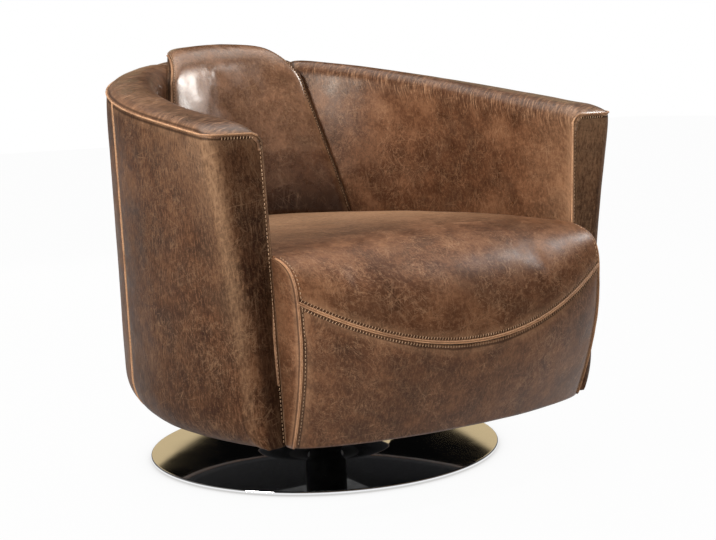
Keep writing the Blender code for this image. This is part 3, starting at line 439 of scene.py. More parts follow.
def leather(name, lie, contrast, veins, streaks, scratches, rough, pebble, shade, gloss):
    """Waxed, rubbed hide: soft brown clouds, fine mottling along its lie, pale veins, streaks and scratches,
    and painted light and shade where a panel asks for it.
    """
    g = Look(name)
    hide = g.node("UVMap", uv_map="hide").outputs["UV"]
    cloud = g.noise(hide, 5.0, 4.0, 0.6)
    patch = g.noise(hide, 24.0, 5.0, 0.58, 0.2)
    mottle = g.noise(g.stretched(hide, lie), 150.0, 5.0, 0.62, 0.5)
    fleck = g.noise(hide, 420.0, 4.0, 0.65)
    soft = g.plus(g.times(cloud, 0.55), g.times(patch, 0.45))
    fine = g.plus(g.times(mottle, 0.65), g.times(fleck, 0.35))
    dark, brown, light, tan, smoke = (shade * tone for tone in (DARK, BROWN, LIGHT, TAN, SMOKE))
    g.colour = g.mix(g.map(soft, 0.35 + 0.05 * contrast, 0.59 - 0.05 * contrast), dark, brown)
    g.lay(g.map(soft, 0.52, 0.70 - 0.06 * contrast, 0.0, 0.45 + 0.35 * contrast), light)
    g.lay(g.map(fine, 0.34, 0.50, contrast, 0.0), dark)
    g.lay(g.map(fine, 0.50, 0.64, 0.0, contrast), light)
    haze = g.noise(g.stretched(hide, (1, 1, 1), 40), 7.0, 5.0, 0.62, 0.8)
    g.lay(g.times(g.map(haze, 0.52, 0.70), 0.50), smoke)
    # Pale wandering veins where the hide has been folded
    for scale, width in VEIN_SETS:
        fold = g.apart(g.noise(hide, scale, 7.0, 0.62, 1.2), 0.5)
        folded = g.map(g.noise(hide, scale * 0.4, 3.0), 0.44, 0.62)
        vein = g.times(g.map(fold, 0.0, width, 1.0, 0.0), folded)
        g.lay(g.times(vein, veins), tan)
    # Painted light and shade where the panel says so, in places rubbed wear as well: paler above 0, darker
    # below 0, with wrinkles in the pale zones
    painted_light_and_wear = g.node("Attribute", attribute_name="light_and_wear").outputs["Fac"]
    pale = g.times(g.map(painted_light_and_wear, 0.0, 1.0), g.map(mottle, 0.36, 0.62, 0.45, 1.0))
    g.lay(g.times(pale, 0.85), tan)
    g.lay(g.map(painted_light_and_wear, 0.0, -1.0), 0.55 * dark)
    wrinkle = g.noise(g.stretched(hide, (26, 260, 1), 6), 1.0, 4.0, 0.6, 0.6)
    crack = g.times(g.map(painted_light_and_wear, 0.1, 0.8), g.map(wrinkle, 0.54, 0.68))
    g.lay(g.times(crack, 0.40), 1.15 * tan)
    # Short streaks where the wax has cracked, pale in places and dark in others
    fibre = g.noise(g.stretched(hide, (380, 40, 1), 4), 1.0, 5.0, 0.62, 0.4)
    where = g.map(g.noise(hide, 9.0, 3.0, 0.6), 0.40, 0.68)
    streak = g.times(g.map(fibre, 0.52, 0.70), where)
    g.lay(g.times(streak, streaks), tan)
    g.lay(g.map(fibre, 0.34, 0.48, streaks, 0.0), dark)
    # Strands drawn over the rim where the hide is stretched
    brush = g.node("Attribute", attribute_name="brush").outputs["Fac"]
    strand = g.noise(g.stretched(hide, (300, 34, 1), -28), 1.0, 5.0, 0.62, 0.8)
    g.lay(g.times(brush, g.map(strand, 0.36, 0.54, 0.80, 0.0)), 0.8 * dark)
    g.lay(g.times(brush, g.map(strand, 0.54, 0.70, 0.0, 0.55)), tan)
    # Long fine scratches in several directions
    drift = g.node("TexNoise", {"Vector": hide, "Scale": 9.0, "Detail": 2.0}).outputs["Color"]
    wander = g.vector("ADD", hide, g.vector("MULTIPLY", drift, (0.016, 0.016, 0)))
    marks = None
    for turn, size, width in SCRATCH_SETS:
        line = g.map(g.cells(g.stretched(wander, size, turn), 1.0), 0.0, width, 1.0, 0.0)
        marks = line if marks is None else g.most(marks, line)
    marks = g.times(marks, g.map(g.noise(hide, 21.0, 4.0, 0.65), 0.48, 0.74))
    g.lay(g.times(marks, scratches), tan)
    # Edges rubbed pale beside the seams, and the dark line that the stitches pull in
    edge = g.node("Attribute", attribute_name="edge").outputs["Fac"]
    rub = g.times(g.map(edge, 0.004, 0.020, 1.0, 0.0), g.map(patch, 0.35, 0.62, 0.35, 1.0))
    g.lay(g.times(rub, 0.30), tan)
    pulled = g.map(g.apart(edge, STITCH_GAP), 0.0008, 0.0030, 1.0, 0.0)
    g.lay(g.times(pulled, 0.75), 0.6 * dark)
    # Shine, grain and creases
    shine = g.plus(g.map(patch, 0.3, 0.7, rough - 0.07, rough + 0.07), g.times(fleck, 0.06))
    grain = g.plus(g.times(g.cells(hide, 620.0, "SMOOTH_F1"), 0.7), g.times(fleck, 0.6))
    crease = g.map(g.cells(wander, 120.0), 0.0, 0.10, 0.0, 1.0)
    normal = g.bump(grain, pebble, 0.0007)
    normal = g.bump(crease, 0.07, 0.0006, normal)
    normal = g.bump(marks, 0.12, 0.0005, normal)
    normal = g.bump(pulled, -0.35, 0.0010, normal)
    return g.finish(shine, normal, **{"IOR": 1.46, "Specular IOR Level": gloss,
                                      "Specular Tint": (1.0, 0.90, 0.80, 1)})


CUT_DARK, CUT_PALE = np.array((0.30, 0.150, 0.076)), np.array((0.60, 0.345, 0.195))
CUT_RUN = np.array((0.17, 0.080, 0.042))


def raw_edge(name, shade):
    """Cut edge of the hide: tan fibres with darker runs."""
    g = Look(name)
    place = g.place()
    fibre = g.noise(place, 420.0, 5.0, 0.65)
    runs = g.noise(place, 24.0, 3.0, 0.55)
    g.colour = g.mix(g.map(fibre, 0.3, 0.7), shade * CUT_DARK, shade * CUT_PALE)
    g.lay(g.map(runs, 0.50, 0.72, 0.0, 0.7), shade * CUT_RUN)
    rough = g.map(fibre, 0.3, 0.7, 0.5, 0.75)
    return g.finish(rough, g.bump(fibre, 0.35, 0.0005), **{"Specular IOR Level": 0.2})


def thread():
    """Waxed sewing thread with a visible twist."""
    g = Look("waxed_thread")
    place = g.place()
    twist = g.node("TexWave", {"Vector": place, "Scale": 900.0, "Distortion": 2.0}).outputs["Fac"]
    g.colour = g.mix(g.map(g.noise(place, 60.0, 3.0), 0.35, 0.65), (0.33, 0.19, 0.10), (0.50, 0.32, 0.19))
    g.lay(g.times(twist, 0.35), (0.20, 0.11, 0.06))
    return g.finish(0.55, g.bump(twist, 0.3, 0.0003))


def chrome():
    """Mirror plating with a trace of fine wiping marks."""
    g = Look("mirror_chrome")
    place = g.place()
    haze = g.noise(place, 9.0, 4.0, 0.6)
    fine = g.noise(g.stretched(place, (300, 300, 4)), 1.0, 3.0)
    g.colour = g.mix(g.map(haze, 0.3, 0.7), (0.86, 0.86, 0.87), (0.91, 0.91, 0.92))
    return g.finish(g.plus(g.map(haze, 0.35, 0.7, 0.015, 0.035), g.times(fine, 0.02)), metallic=1.0)


def plain(name, dark, light, scale, rough, metallic=0.0, stretch=(1, 1, 1), depth=0.0004, strength=0.2,
          gloss=0.5):
    """A material with its own scale of mottling and bump, for the pieces inside."""
    g = Look(name)
    place = g.stretched(g.place(), stretch)
    grain = g.noise(place, scale, 6.0, 0.6, 0.3)
    cloud = g.noise(place, scale * 0.12, 3.0)
    tone = g.plus(g.times(grain, 0.6), g.times(cloud, 0.4))
    g.colour = g.mix(g.map(tone, 0.35, 0.65), dark, light)
    rough = g.map(grain, 0.3, 0.7, rough - 0.08, rough + 0.08)
    return g.finish(rough, g.bump(grain, strength, depth), metallic, **{"Specular IOR Level": gloss})


# The shade number sets how light each hide is painted. The outside walls and the cushion's sides, at 0.62
# against 1.10 to 1.28 for the others, are a shaded copy of the same hide: painted shade.
HIDE_WALL_SHADED = leather("hide_outside", (1.6, 0.65, 1), contrast=1.00, veins=0.50, streaks=0.36, scratches=0.58,
                    rough=0.46, pebble=0.12, shade=0.62, gloss=0.07)
HIDE_LINING = leather("hide_inside", (1.1, 0.9, 1), contrast=0.50, veins=0.34, streaks=0.10, scratches=0.36,
                      rough=0.30, pebble=0.06, shade=1.15, gloss=0.24)
HIDE_CUSHION = leather("hide_cushion", (1.1, 0.9, 1), contrast=0.42, veins=0.28, streaks=0.10, scratches=0.34,
                       rough=0.25, pebble=0.05, shade=1.24, gloss=0.40)
HIDE_SEAT = leather("hide_seat", (0.9, 1.1, 1), contrast=0.55, veins=0.42, streaks=0.14, scratches=0.42,
                    rough=0.40, pebble=0.08, shade=1.28, gloss=0.08)
HIDE_FRONT = leather("hide_front", (1.4, 0.8, 1), contrast=0.55, veins=0.40, streaks=0.16, scratches=0.42,
                     rough=0.36, pebble=0.08, shade=1.10, gloss=0.24)
RAW = raw_edge("raw_edge", 1.0)
# A shaded copy of the raw edge, for painted shade
RAW_SHADED = raw_edge("raw_edge_shaded", 0.35)
THREAD = thread()
CHROME = chrome()
ENAMEL = plain("black_enamel", (0.006, 0.006, 0.006), (0.014, 0.014, 0.014), 60, 0.42, depth=0.0002,
               strength=0.1, gloss=0.1)
FELT = plain("felt", (0.16, 0.155, 0.15), (0.36, 0.35, 0.34), 420, 0.95, depth=0.001, strength=0.6)
CAMBRIC = plain("black_cambric", (0.005, 0.005, 0.006), (0.020, 0.020, 0.022), 900, 0.92, depth=0.0006,
                strength=0.6, gloss=0.1)
SLOT_LOOKS = {
    "zinc_steel": plain("zinc_plate", (0.40, 0.41, 0.43), (0.62, 0.63, 0.65), 160, 0.34, metallic=1.0),
    "white_nylon": plain("nylon", (0.66, 0.65, 0.60), (0.80, 0.79, 0.74), 120, 0.5),
    "black_rubber": plain("rubber", (0.015, 0.015, 0.015), (0.035, 0.035, 0.035), 240, 0.85),
    "beech_timber": plain("beech", (0.38, 0.23, 0.115), (0.58, 0.40, 0.23), 9, 0.6, stretch=(18, 18, 1.5),
                          depth=0.0008),
    "fibre_board": plain("fibre_sheet", (0.20, 0.145, 0.09), (0.36, 0.27, 0.18), 320, 0.88),
    "polished_chrome": CHROME, "black_enamel": ENAMEL, "brown_leather": HIDE_LINING, "cream_foam": FELT,
    "grey_felt": FELT, "black_cloth": CAMBRIC}
for part in frame["record"]["subparts"]:
    held = frame["nodes"][part["node"]].data.materials
    held.clear()
    held.append(SLOT_LOOKS[part["material_slot"]])


# Mesh building


def obj_from(name, points, faces, look):
    mesh = bpy.data.meshes.new(name)
    mesh.from_pydata([tuple(p) for p in points], [], [tuple(f) for f in faces])
    mesh.materials.append(look)
    mesh.polygons.foreach_set("use_smooth", [True] * len(mesh.polygons))
    mesh.update()
    made = bpy.data.objects.new(name, mesh)
    bpy.context.collection.objects.link(made)
    return made


def settle(made, body, slot, *nodes):
    """Puts a piece on its body and hides the nodes that it stands for; its slot is not used."""
    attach(made, body)
    if nodes:
        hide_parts(*nodes)


def lengths(points, axis):
    """How far along an axis of the grid each point lies."""
    step = np.diff(points, axis=axis, prepend=np.take(points, [0], axis=axis))
    return np.cumsum(np.linalg.norm(step, axis=-1), axis=axis)


def read_off(at, where, line):
    """Points of a line, known at some places, at other places."""
    return np.stack([np.interp(at, where, values) for values in line.T], axis=-1)


def grid_faces(shape, flip):
    """The point numbers of a grid, and the quads between them."""
    index = np.arange(shape[0] * shape[1]).reshape(shape)
    quads = np.stack((index[:-1, :-1], index[1:, :-1], index[1:, 1:], index[:-1, 1:]), axis=-1).reshape(-1, 4)
    return index, quads[:, ::-1] if flip else quads


def ring_faces(index):
    """Quads between the rows of an array of point numbers, where each row is a closed ring."""
    ahead = np.roll(index, -1, axis=1)
    return np.stack((index[:-1], ahead[:-1], ahead[1:], index[1:]), axis=-1).reshape(-1, 4)


def rolling(points, scale, seed):
    """Slow, even unevenness of stuffed leather, from about -1 to 1."""
    places = points.reshape(-1, 3) * scale + seed
    found = [noise.noise(Vector(p)) + 0.4 * noise.noise(Vector(p * 2.3)) for p in places]
    return np.array(found).reshape(points.shape[:-1])


def even(points, count):
    """The grid with its rows spaced evenly along each column."""
    run = lengths(points, 1)
    at = np.linspace(0, 1, count)
    return np.stack([read_off(at, where, line) for line, where in zip(points, run / run[:, -1:])])


def eased(points, times):
    """The grid with kinks along its columns smoothed away, its borders kept."""
    points = points.copy()
    for _ in range(times):
        points[:, 1:-1] = (points[:, :-2] + 2 * points[:, 1:-1] + points[:, 2:]) / 4
    return points


CLOTH_STEP, CLOTH_FRAMES = 3, 20
CLOTH_SETTINGS = {"quality": 6, "mass": 0.3, "tension_stiffness": 25, "compression_stiffness": 25,
                  "shear_stiffness": 10, "bending_stiffness": 4, "vertex_group_mass": "sewn",
                  "use_pressure": True, "uniform_pressure_force": 4}


def blown(points, flip, most):
    """How far a cover sewn down at its borders moves when stuffing presses on it, from a short cloth run."""
    places = [np.unique(np.linspace(0, n - 1, n // CLOTH_STEP).astype(int)) for n in points.shape[:2]]
    coarse = points[np.ix_(*places)]
    index, quads = grid_faces(coarse.shape[:2], flip)
    trial = obj_from("cover_trial", coarse.reshape(-1, 3), quads, RAW)
    sewn = np.ones(index.shape, bool)
    sewn[1:-1, 1:-1] = False
    trial.vertex_groups.new(name="sewn").add(index[sewn].tolist(), 1.0, "REPLACE")
    cloth = trial.modifiers.new("cover", "CLOTH")
    for key, value in CLOTH_SETTINGS.items():
        setattr(cloth.settings, key, value)
    cloth.settings.effector_weights.gravity = 0
    cloth.collision_settings.use_collision = False
    cloth.point_cache.frame_start, cloth.point_cache.frame_end = 1, CLOTH_FRAMES
    for step in range(1, CLOTH_FRAMES + 1):
        bpy.context.scene.frame_set(step)
    found = trial.evaluated_get(bpy.context.evaluated_depsgraph_get()).to_mesh()
    moved = np.array([v.co for v in found.vertices]).reshape(coarse.shape) - coarse
    mesh = trial.data
    bpy.data.objects.remove(trial)
    bpy.data.meshes.remove(mesh)
    bpy.context.scene.frame_set(1)
    moved *= min(1.0, most / max(np.linalg.norm(moved, axis=-1).max(), 1e-9))
    for count, where in zip(points.shape, places):
        lines = np.swapaxes(moved, 0, 1)
        moved = np.stack([read_off(np.arange(count), where, line) for line in lines])
    return moved


PANELS = {}
DIP_REACH, WAVE_REACH = 0.006, 0.02


def panel(name, points, look, nodes, seams, fill, swell=0.0, dip=0.0022, thick=LEATHER, wave=0.0006,
          wave_scale=16.0, flip=False, seed=0.0, spread=0.03, press=0.0, folded=0, light_and_wear=0.0, brush=0.0,
          slot="brown_leather"):
    """A closed shell of hide over a grid of points. seams says which sides (left, right, foot, top) are sewn
    in, press how far stuffing may blow it up past its first rows, the folded ones, the field after those how
    far each point is painted light, in places rubbed pale too (to 1), or painted shade (to -1), and brush how
    far it shows strands of stretched hide."""
    normals = unit(np.cross(np.gradient(points, axis=0), np.gradient(points, axis=1))) * (-1 if flip else 1)
    u, v = lengths(points, 0), lengths(points, 1)
    sides = {"left": u, "right": u[-1:] - u, "foot": v, "top": v[:, -1:] - v}
    edge = np.full(u.shape, 1.0)
    for side in seams:
        edge = np.minimum(edge, sides[side])
    lift = swell * (1 - np.exp(-edge / spread)) - dip * np.exp(-edge / DIP_REACH)
    if wave:
        lift = lift + wave * rolling(points, wave_scale, seed) * (1 - np.exp(-edge / WAVE_REACH))
    outer = points + normals * lift[..., None]
    if press:
        outer[:, folded:] += blown(outer[:, folded:], flip, press)
    inner = outer - normals * thick
    # Front, back, and the cut edge between them
    index, quads = grid_faces(u.shape, flip)
    ring = np.concatenate((index[:, 0], index[-1, 1:], index[-2::-1, -1], index[0, -2:0:-1]))
    ahead = np.roll(ring, -1)
    border = np.stack((ahead, ring, ring + index.size, ahead + index.size), axis=-1)
    if flip:
        border = border[:, ::-1]
    faces = np.concatenate((quads, quads[:, ::-1] + index.size, border)).tolist()
    made = obj_from(name, np.concatenate((outer.reshape(-1, 3), inner.reshape(-1, 3))), faces, look)
    # The hide's own coordinates in metres, shifted so that no two panels show the same part of the pattern
    mesh = made.data
    shift = seed * 1.37
    middle = len(u) // 2
    hide = np.stack((u - u[middle:middle + 1] + shift, v + shift * 0.7), axis=-1).reshape(-1, 2)
    corners = np.empty(len(mesh.loops), int)
    mesh.loops.foreach_get("vertex_index", corners)
    mesh.uv_layers.new(name="hide").data.foreach_set("uv", np.tile(hide, (2, 1))[corners].ravel())
    for field, values in (("edge", edge), ("light_and_wear", light_and_wear + 0 * edge), ("brush", brush + 0 * edge)):
        mesh.attributes.new(field, "FLOAT", "POINT").data.foreach_set("value", np.tile(values.ravel(), 2))
    settle(made, "chair", slot, *nodes)
    PANELS[name] = BVHTree.FromPolygons([Vector(p) for p in outer.reshape(-1, 3)], quads.tolist())


def tangent_of(path):
    return unit(np.gradient(path, axis=0))


def resample(path, pitch, *fields):
    """The path, and fields along it, at an even pitch."""
    run = lengths(path, 0)
    count = max(int(run[-1] / pitch), 2)
    at = np.linspace(0, run[-1], count + 1)
    return [read_off(at, run, line) for line in (path, *fields)]


# Sections of a raw edge, in half widths and heights: one rounded edge, and two side by side with a groove
ROUND_LIP = ((-1.0, -0.9), (-1.0, 0.30), (-0.75, 0.62), (-0.35, 0.78),
             (0.35, 0.78), (0.75, 0.62), (1.0, 0.30), (1.0, -0.9))
LIP = ((-1.0, -0.9), (-1.0, 0.30), (-0.82, 0.62), (-0.48, 0.72), (-0.18, 0.50), (0.0, -0.25),
       (0.18, 0.50), (0.48, 0.72), (0.82, 0.62), (1.0, 0.30), (1.0, -0.9))
LIP_PITCH, LIP_SINK, LIP_WOBBLE, WOBBLE_SCALE = 0.003, 0.0010, 0.16, 55.0


def lip(name, path, up, width=0.0030, height=0.0030, look=RAW, profile=LIP):
    """Raw hide edges standing along a seam, a little uneven in height."""
    path, up = resample(path, LIP_PITCH, up)
    along = tangent_of(path)
    up = unit(up - along * (up * along).sum(axis=1)[:, None])
    side = np.cross(along, up)
    grow = 1 + LIP_WOBBLE * np.array([noise.noise(Vector(p) * WOBBLE_SCALE) for p in path])
    x, y = np.array(profile).T
    aside = side[:, None] * (x * width / 2)[:, None]
    above = up[:, None] * (y * height * grow[:, None] - LIP_SINK)[..., None]
    points = (path[:, None] + aside + above).reshape(-1, 3)
    index = np.arange(len(points)).reshape(-1, len(profile))
    faces = ring_faces(index)[:, [0, 3, 2, 1]].tolist() + [index[0], index[-1][::-1]]
    settle(obj_from(name, points, faces, look), "chair", "brown_leather")


STITCHES = []
STITCH_RADIUS, STITCH_REST, STITCH_SIDES = 0.00062, 0.35, 6
# Rings of a stitch: place along it, by its length, then height and size, by its radius
STITCH_RINGS = ((-0.5, -1.6, 0.75), (-0.40, -0.2, 1.0), (-0.16, 0.5, 1.0),
                (0.16, 0.5, 1.0), (0.40, -0.2, 1.0), (0.5, -1.6, 0.75))


def stitch(panel_name, path, aside, gap=STITCH_GAP, pitch=0.0062, length=0.0043, slant=0.0):
    """A row of stitches beside a seam, laid on a panel."""
    path, aside = resample(path, pitch, aside)
    tree = PANELS[panel_name]
    for p, t, a in zip(path[1:-1], tangent_of(path)[1:-1], aside[1:-1]):
        spot, normal, _, _ = tree.find_nearest(Vector(p + unit(a) * gap))
        n = np.array(normal)
        t = unit(t - n * (t @ n))
        t = t * math.cos(slant) + np.cross(n, t) * math.sin(slant)
        STITCHES.append((np.array(spot) + n * STITCH_RADIUS * STITCH_REST, t, n, length))


def sew(name):
    """Makes one piece of all the stitches."""
    index = np.arange(len(STITCH_RINGS) * STITCH_SIDES).reshape(-1, STITCH_SIDES)
    one = ring_faces(index).tolist() + [index[0][::-1], index[-1]]
    points, faces = [], []
    for spot, t, n, length in STITCHES:
        b = np.cross(n, t)
        faces += [[len(points) + i for i in face] for face in one]
        for along, height, size in STITCH_RINGS:
            middle = spot + t * (along * length) + n * (height * STITCH_RADIUS)
            for i in range(STITCH_SIDES):
                w = 2 * math.pi * i / STITCH_SIDES
                points.append(middle + (b * math.cos(w) + n * math.sin(w)) * (STITCH_RADIUS * size))
    settle(obj_from(name, points, faces, THREAD), "chair", "brown_leather")


# Outside of the tub
WALL_SHARES = steps(0, (22, 0.14), (62, 0.94), (12, 1))
TURNED_UNDER = np.array((0.011, 0.008, 0.005, 0.0025))
REAR_GAP, SEAM_SINK, HEM_DROP = 0.0012, 0.0006, 0.0004
FRONT_SHARES = 1 - (1 - np.linspace(0, 1, 40)[1:]) ** 1.7
ARM_STATIONS = np.concatenate((steps(REAR_STATION, (24, 1), (44, 2), (22, 3)), 3 + FRONT_SHARES))
ARM_STATIONS[0] += REAR_GAP
DRAWN_TIGHT = dict(swell=0.0022, spread=0.035, wave=0.0008, wave_scale=9.0, flip=True, fill=0.9)
CORNER_STATION, CORNER_SPREAD = 2.35, 0.36
# Painted shade on the left arm's front and painted light on the right arm's front
FRONT_LIGHT_AND_SHADE = {"left": -0.40, "right": 0.25}


def on_side(stations, side):
    """The stations of the right side, or of the left one in the same turning sense."""
    return stations if side > 0 else -stations[::-1]


def rim_seam(s):
    """Top edge of the outside hide, along the rim and then across an arm front."""
    a = np.abs(s)
    depth, z = lining(3.0, np.linspace(0, 3, 400), PAD_FOOT)
    front = np.interp(np.clip(a - 3, 0, 1) * depth[-1], depth, z)
    return np.where(a <= 3, rim(s) - RIM_DROP, front) - SEAM_SINK


def outside_grid(stations):
    s = stations[:, None]
    wall = skin(s, WALL_FOOT + (rim_seam(s) - WALL_FOOT) * WALL_SHARES)
    # The hide is turned under at the foot
    under = skin(s, WALL_FOOT, TURNED_UNDER) - (0, 0, HEM_DROP)
    return np.concatenate((under, wall), axis=1)


for side_name, side in SIDES:
    stations = on_side(ARM_STATIONS, side)
    grid = outside_grid(stations)
    station, height = np.abs(stations)[:, None], grid[..., 2]
    # Painted highlight round the front corner, most of all up high, where the hide is also rubbed pale;
    # painted light towards the top, painted shade behind and below, painted shade on the left arm's front and
    # painted light on the right one's
    corner = np.exp(-((station - CORNER_STATION) / CORNER_SPREAD) ** 2)
    painted_light_and_wear = corner * mix(0.5, 1.0, ramp(height, 0.28, 0.53))
    painted_light_and_wear = painted_light_and_wear + FRONT_LIGHT_AND_SHADE[side_name] * ramp(station, 2.85, 3.15)
    painted_light_and_wear = painted_light_and_wear - 0.30 * ramp(station, 1.5, 0.8) - 0.25 * ramp(height, 0.36, 0.20)
    painted_light_and_wear = painted_light_and_wear + 0.25 * ramp(height, 0.46, 0.58)
    panel("outside_arm_" + side_name, grid, HIDE_WALL_SHADED, ["outside_arm_leather_" + side_name],
          ("left", "right", "top"), seed=3.1 + side, light_and_wear=painted_light_and_wear, **DRAWN_TIGHT)
panel("outside_back", outside_grid(np.linspace(-REAR_STATION, REAR_STATION, 150)), HIDE_WALL_SHADED,
      ["outside_back_leather"], ("left", "right", "top"), seed=9.4, **DRAWN_TIGHT)

# Lining of the tub, over the rim
LINING_Q = steps(0, (40, 1), (20, 2), (60, 3), (70, 4))
LINED_STATIONS = steps(INNER_STATION + 0.001, (70, 1), (50, 2), (16, 2.985))
LINED = dict(swell=0.0035, spread=0.03, wave=0.0011, wave_scale=10.0, thick=0.006, flip=True, fill=0.85)
# Painted light: the right arm's inside is paler towards its front, the left one's is not
LINING_PAINTED_LIGHT = {"left": 0.0, "right": 0.5}


def lining_grid(stations):
    return eased(even(lining_point(stations[:, None], LINING_Q, PAD_FOOT), 120), 8)


def over_rim(grid, stations):
    """1 on the top of the wall, 0 from a little below it."""
    return ramp(grid[..., 2] - rim(stations)[:, None], -0.050, -0.025)


for side_name, side in SIDES:
    stations = on_side(LINED_STATIONS, side)
    grid = lining_grid(stations)
    painted_light_and_wear = LINING_PAINTED_LIGHT[side_name] * ramp(np.abs(stations)[:, None], 1.4, 2.6)
    nodes = ["inside_arm_leather_" + side_name, "arm_pad_" + side_name]
    panel("inside_arm_" + side_name, grid, HIDE_LINING, nodes, ("left", "right", "foot"), seed=15.2 + side,
          light_and_wear=painted_light_and_wear, brush=over_rim(grid, stations), **LINED)
stations = np.linspace(-INNER_STATION, INNER_STATION, 60)
grid = lining_grid(stations)
panel("inside_back", grid, HIDE_LINING, ["inside_back_leather", "back_pad"], ("left", "right", "foot"),
      seed=21.7, brush=over_rim(grid, stations), **LINED)

# Seat
EDGE = crowded(150, 1.25)
seam = smile(EDGE)
top_g = np.concatenate((np.linspace(0, 1, 60)[:-1] + 0 * seam,
                        1 + (seam - 1) * np.linspace(0, 1, 300) ** 3), axis=1)
grid = eased(even(seat_point(EDGE, top_g), 150), 6)
# Painted light: the seat is paler towards its rear; it is also darker just behind the front seam
painted_light_and_wear = ramp(grid[..., 1], -0.34, -0.04) - 0.22 * ramp(grid[..., 1], -0.42, -0.48)
panel("seat_top", grid, HIDE_SEAT, ["seat_top_leather", "seat_foam"], ("top",), swell=0.003, spread=0.04,
      wave=0.0013, wave_scale=9.0, fill=0.85, seed=31.3, thick=0.010, flip=True, press=0.006, light_and_wear=painted_light_and_wear)
front = seat_point(EDGE, mix(seam + 0.004, 3, np.linspace(0, 1, 64)))
# The hide is turned under at the foot, back to the arm fronts
under = np.linspace(0, 1, 14)[1:]
below = np.repeat(front[:, -1:], len(under), axis=1)
below[..., 1] = mix(below[..., 1], ARM_FRONT + 0.006, under)
below[..., 2] = WALL_FOOT - 0.0005
panel("seat_front", np.concatenate((front, below), axis=1), HIDE_FRONT, ["seat_front_leather"],
      ("left", "right", "foot"), swell=0.0025, spread=0.03, wave=0.0010, wave_scale=9.0, fill=0.9, seed=41.9,
      flip=True)

ROLL_SHARE = (SEAT_ROLL_START - ARM_FRONT + RIM_DROP) / (SEAT_ROLL_START - SEAT_NOSE_EDGE)
GUSSET_FIRST = 1 + math.asin(ROLL_SHARE ** (ROLL_POWER_EDGE / 2)) * 2 / math.pi
GUSSET_SHARES = np.linspace(0, 1, 22)
for side_name, side in SIDES:
    line = even(seat_point(side, steps(GUSSET_FIRST, (300, 2), (50, 3)))[None], 80)[0]
    grid = np.repeat(line[:, None], len(GUSSET_SHARES), axis=1)
    grid[..., 0] += side * (SOFT_FIT + LEATHER)
    grid[..., 1] = mix(grid[..., 1], ARM_FRONT - SOFT_FIT, GUSSET_SHARES)
    # Painted highlight along the seam and painted shade towards the arm front
    panel("seat_side_" + side_name, grid, HIDE_FRONT, ["seat_gusset_" + side_name], ("foot",), wave=0.0004,
          dip=0.0012, flip=side < 0, fill=0.9, seed=52.5 + side,
          light_and_wear=0.25 * (1 - GUSSET_SHARES) ** 2 - 0.5 * GUSSET_SHARES)

# Back cushion
CUSHION_TAIL_BULGE = 0.005
COLUMN = crowded(140, 1.9)
CUSHION_Q = steps(CUSHION_TAIL, (20, 1), (30, 2), (60, 3), (80, 4))
front = eased(even(cushion_point(COLUMN, CUSHION_Q), 130), 14)
# The hide is folded down at the tail, behind the rim's crown, and curled under at the foot
tail_back = cushion_point(COLUMN, CUSHION_TAIL, 0.0)
share = np.linspace(0.05, 1, 12)[:-1, None]
bulge = CUSHION_TAIL_BULGE * np.sin(math.pi * share) * (1 - COLUMN[..., None] ** 4)
fold = mix(tail_back, front[:, :1], share) + bulge * np.array((0, 1, 0))
turn = np.linspace(0, math.radians(110), 9)[1:]
curl = np.stack((0 * turn, 1 - np.cos(turn), -np.sin(turn)), axis=-1) * CUSHION_SETTLE
front = np.concatenate((fold, front, front[:, -1:] + curl), axis=1)
# Painted shade: the cushion darkens towards its foot, down by the seat, and is a little paler above
panel("cushion_front", front, HIDE_CUSHION, ["cushion_front_leather", "cushion_foam"], ("left", "right"),
      swell=0.004, spread=0.03, wave=0.0012, wave_scale=9.0, fill=0.75, seed=61.8, thick=0.008, flip=True,
      press=0.006, folded=fold.shape[1], light_and_wear=0.15 - 1.1 * ramp(front[..., 2], 0.545, 0.435))
grid = eased(even(cushion_point(COLUMN, CUSHION_Q, 0.0), 90), 10)
panel("cushion_back", grid, CAMBRIC, ["cushion_lining"], (), wave=0.0, dip=0.0, thick=0.0012, fill=0.6,
      seed=66.0, slot="black_cloth")
for side_name, side in SIDES:
    grid = cushion_point(side * 1.006, CUSHION_Q[:, None], np.linspace(0.04, 0.96, 14))
    grid = np.swapaxes(eased(even(np.swapaxes(grid, 0, 1), 130), 14), 0, 1)
    panel("cushion_side_" + side_name, grid, HIDE_WALL_SHADED, ["cushion_gusset_" + side_name], ("top",),
          swell=0.001, wave=0.0003, dip=0.001, flip=side > 0, fill=0.7, seed=71.5 + side)

# Seams
ARM_FRONT_MIDDLE_X, ARM_FRONT_MIDDLE_Z = 0.345, 0.40
ARM_FRONT_CORNER = ARM_HEIGHT - RIM_DROP - RIM_ROLL_FRONT


def from_middle(points, margin):
    """Way to points on an arm front's edge from the front's middle, level below the rounded corner."""
    middle = np.array((np.sign(points[0, 0]) * ARM_FRONT_MIDDLE_X, ARM_FRONT, ARM_FRONT_MIDDLE_Z))
    away = (points - middle) * (1, 0, 1)
    away[:, 2] = np.where(points[:, 2] > ARM_FRONT_CORNER - margin, away[:, 2], 0)
    return away


def front_up(points):
    """Way out of the arm front's edge: forward, and away from the front's middle."""
    return unit(from_middle(points, 0.002)) * 0.5 + np.array((0, -0.9, 0))


def facing(vectors, way):
    """The vectors, turned round where they point against the way."""
    return vectors * np.sign((vectors * way).sum(axis=1))[:, None]


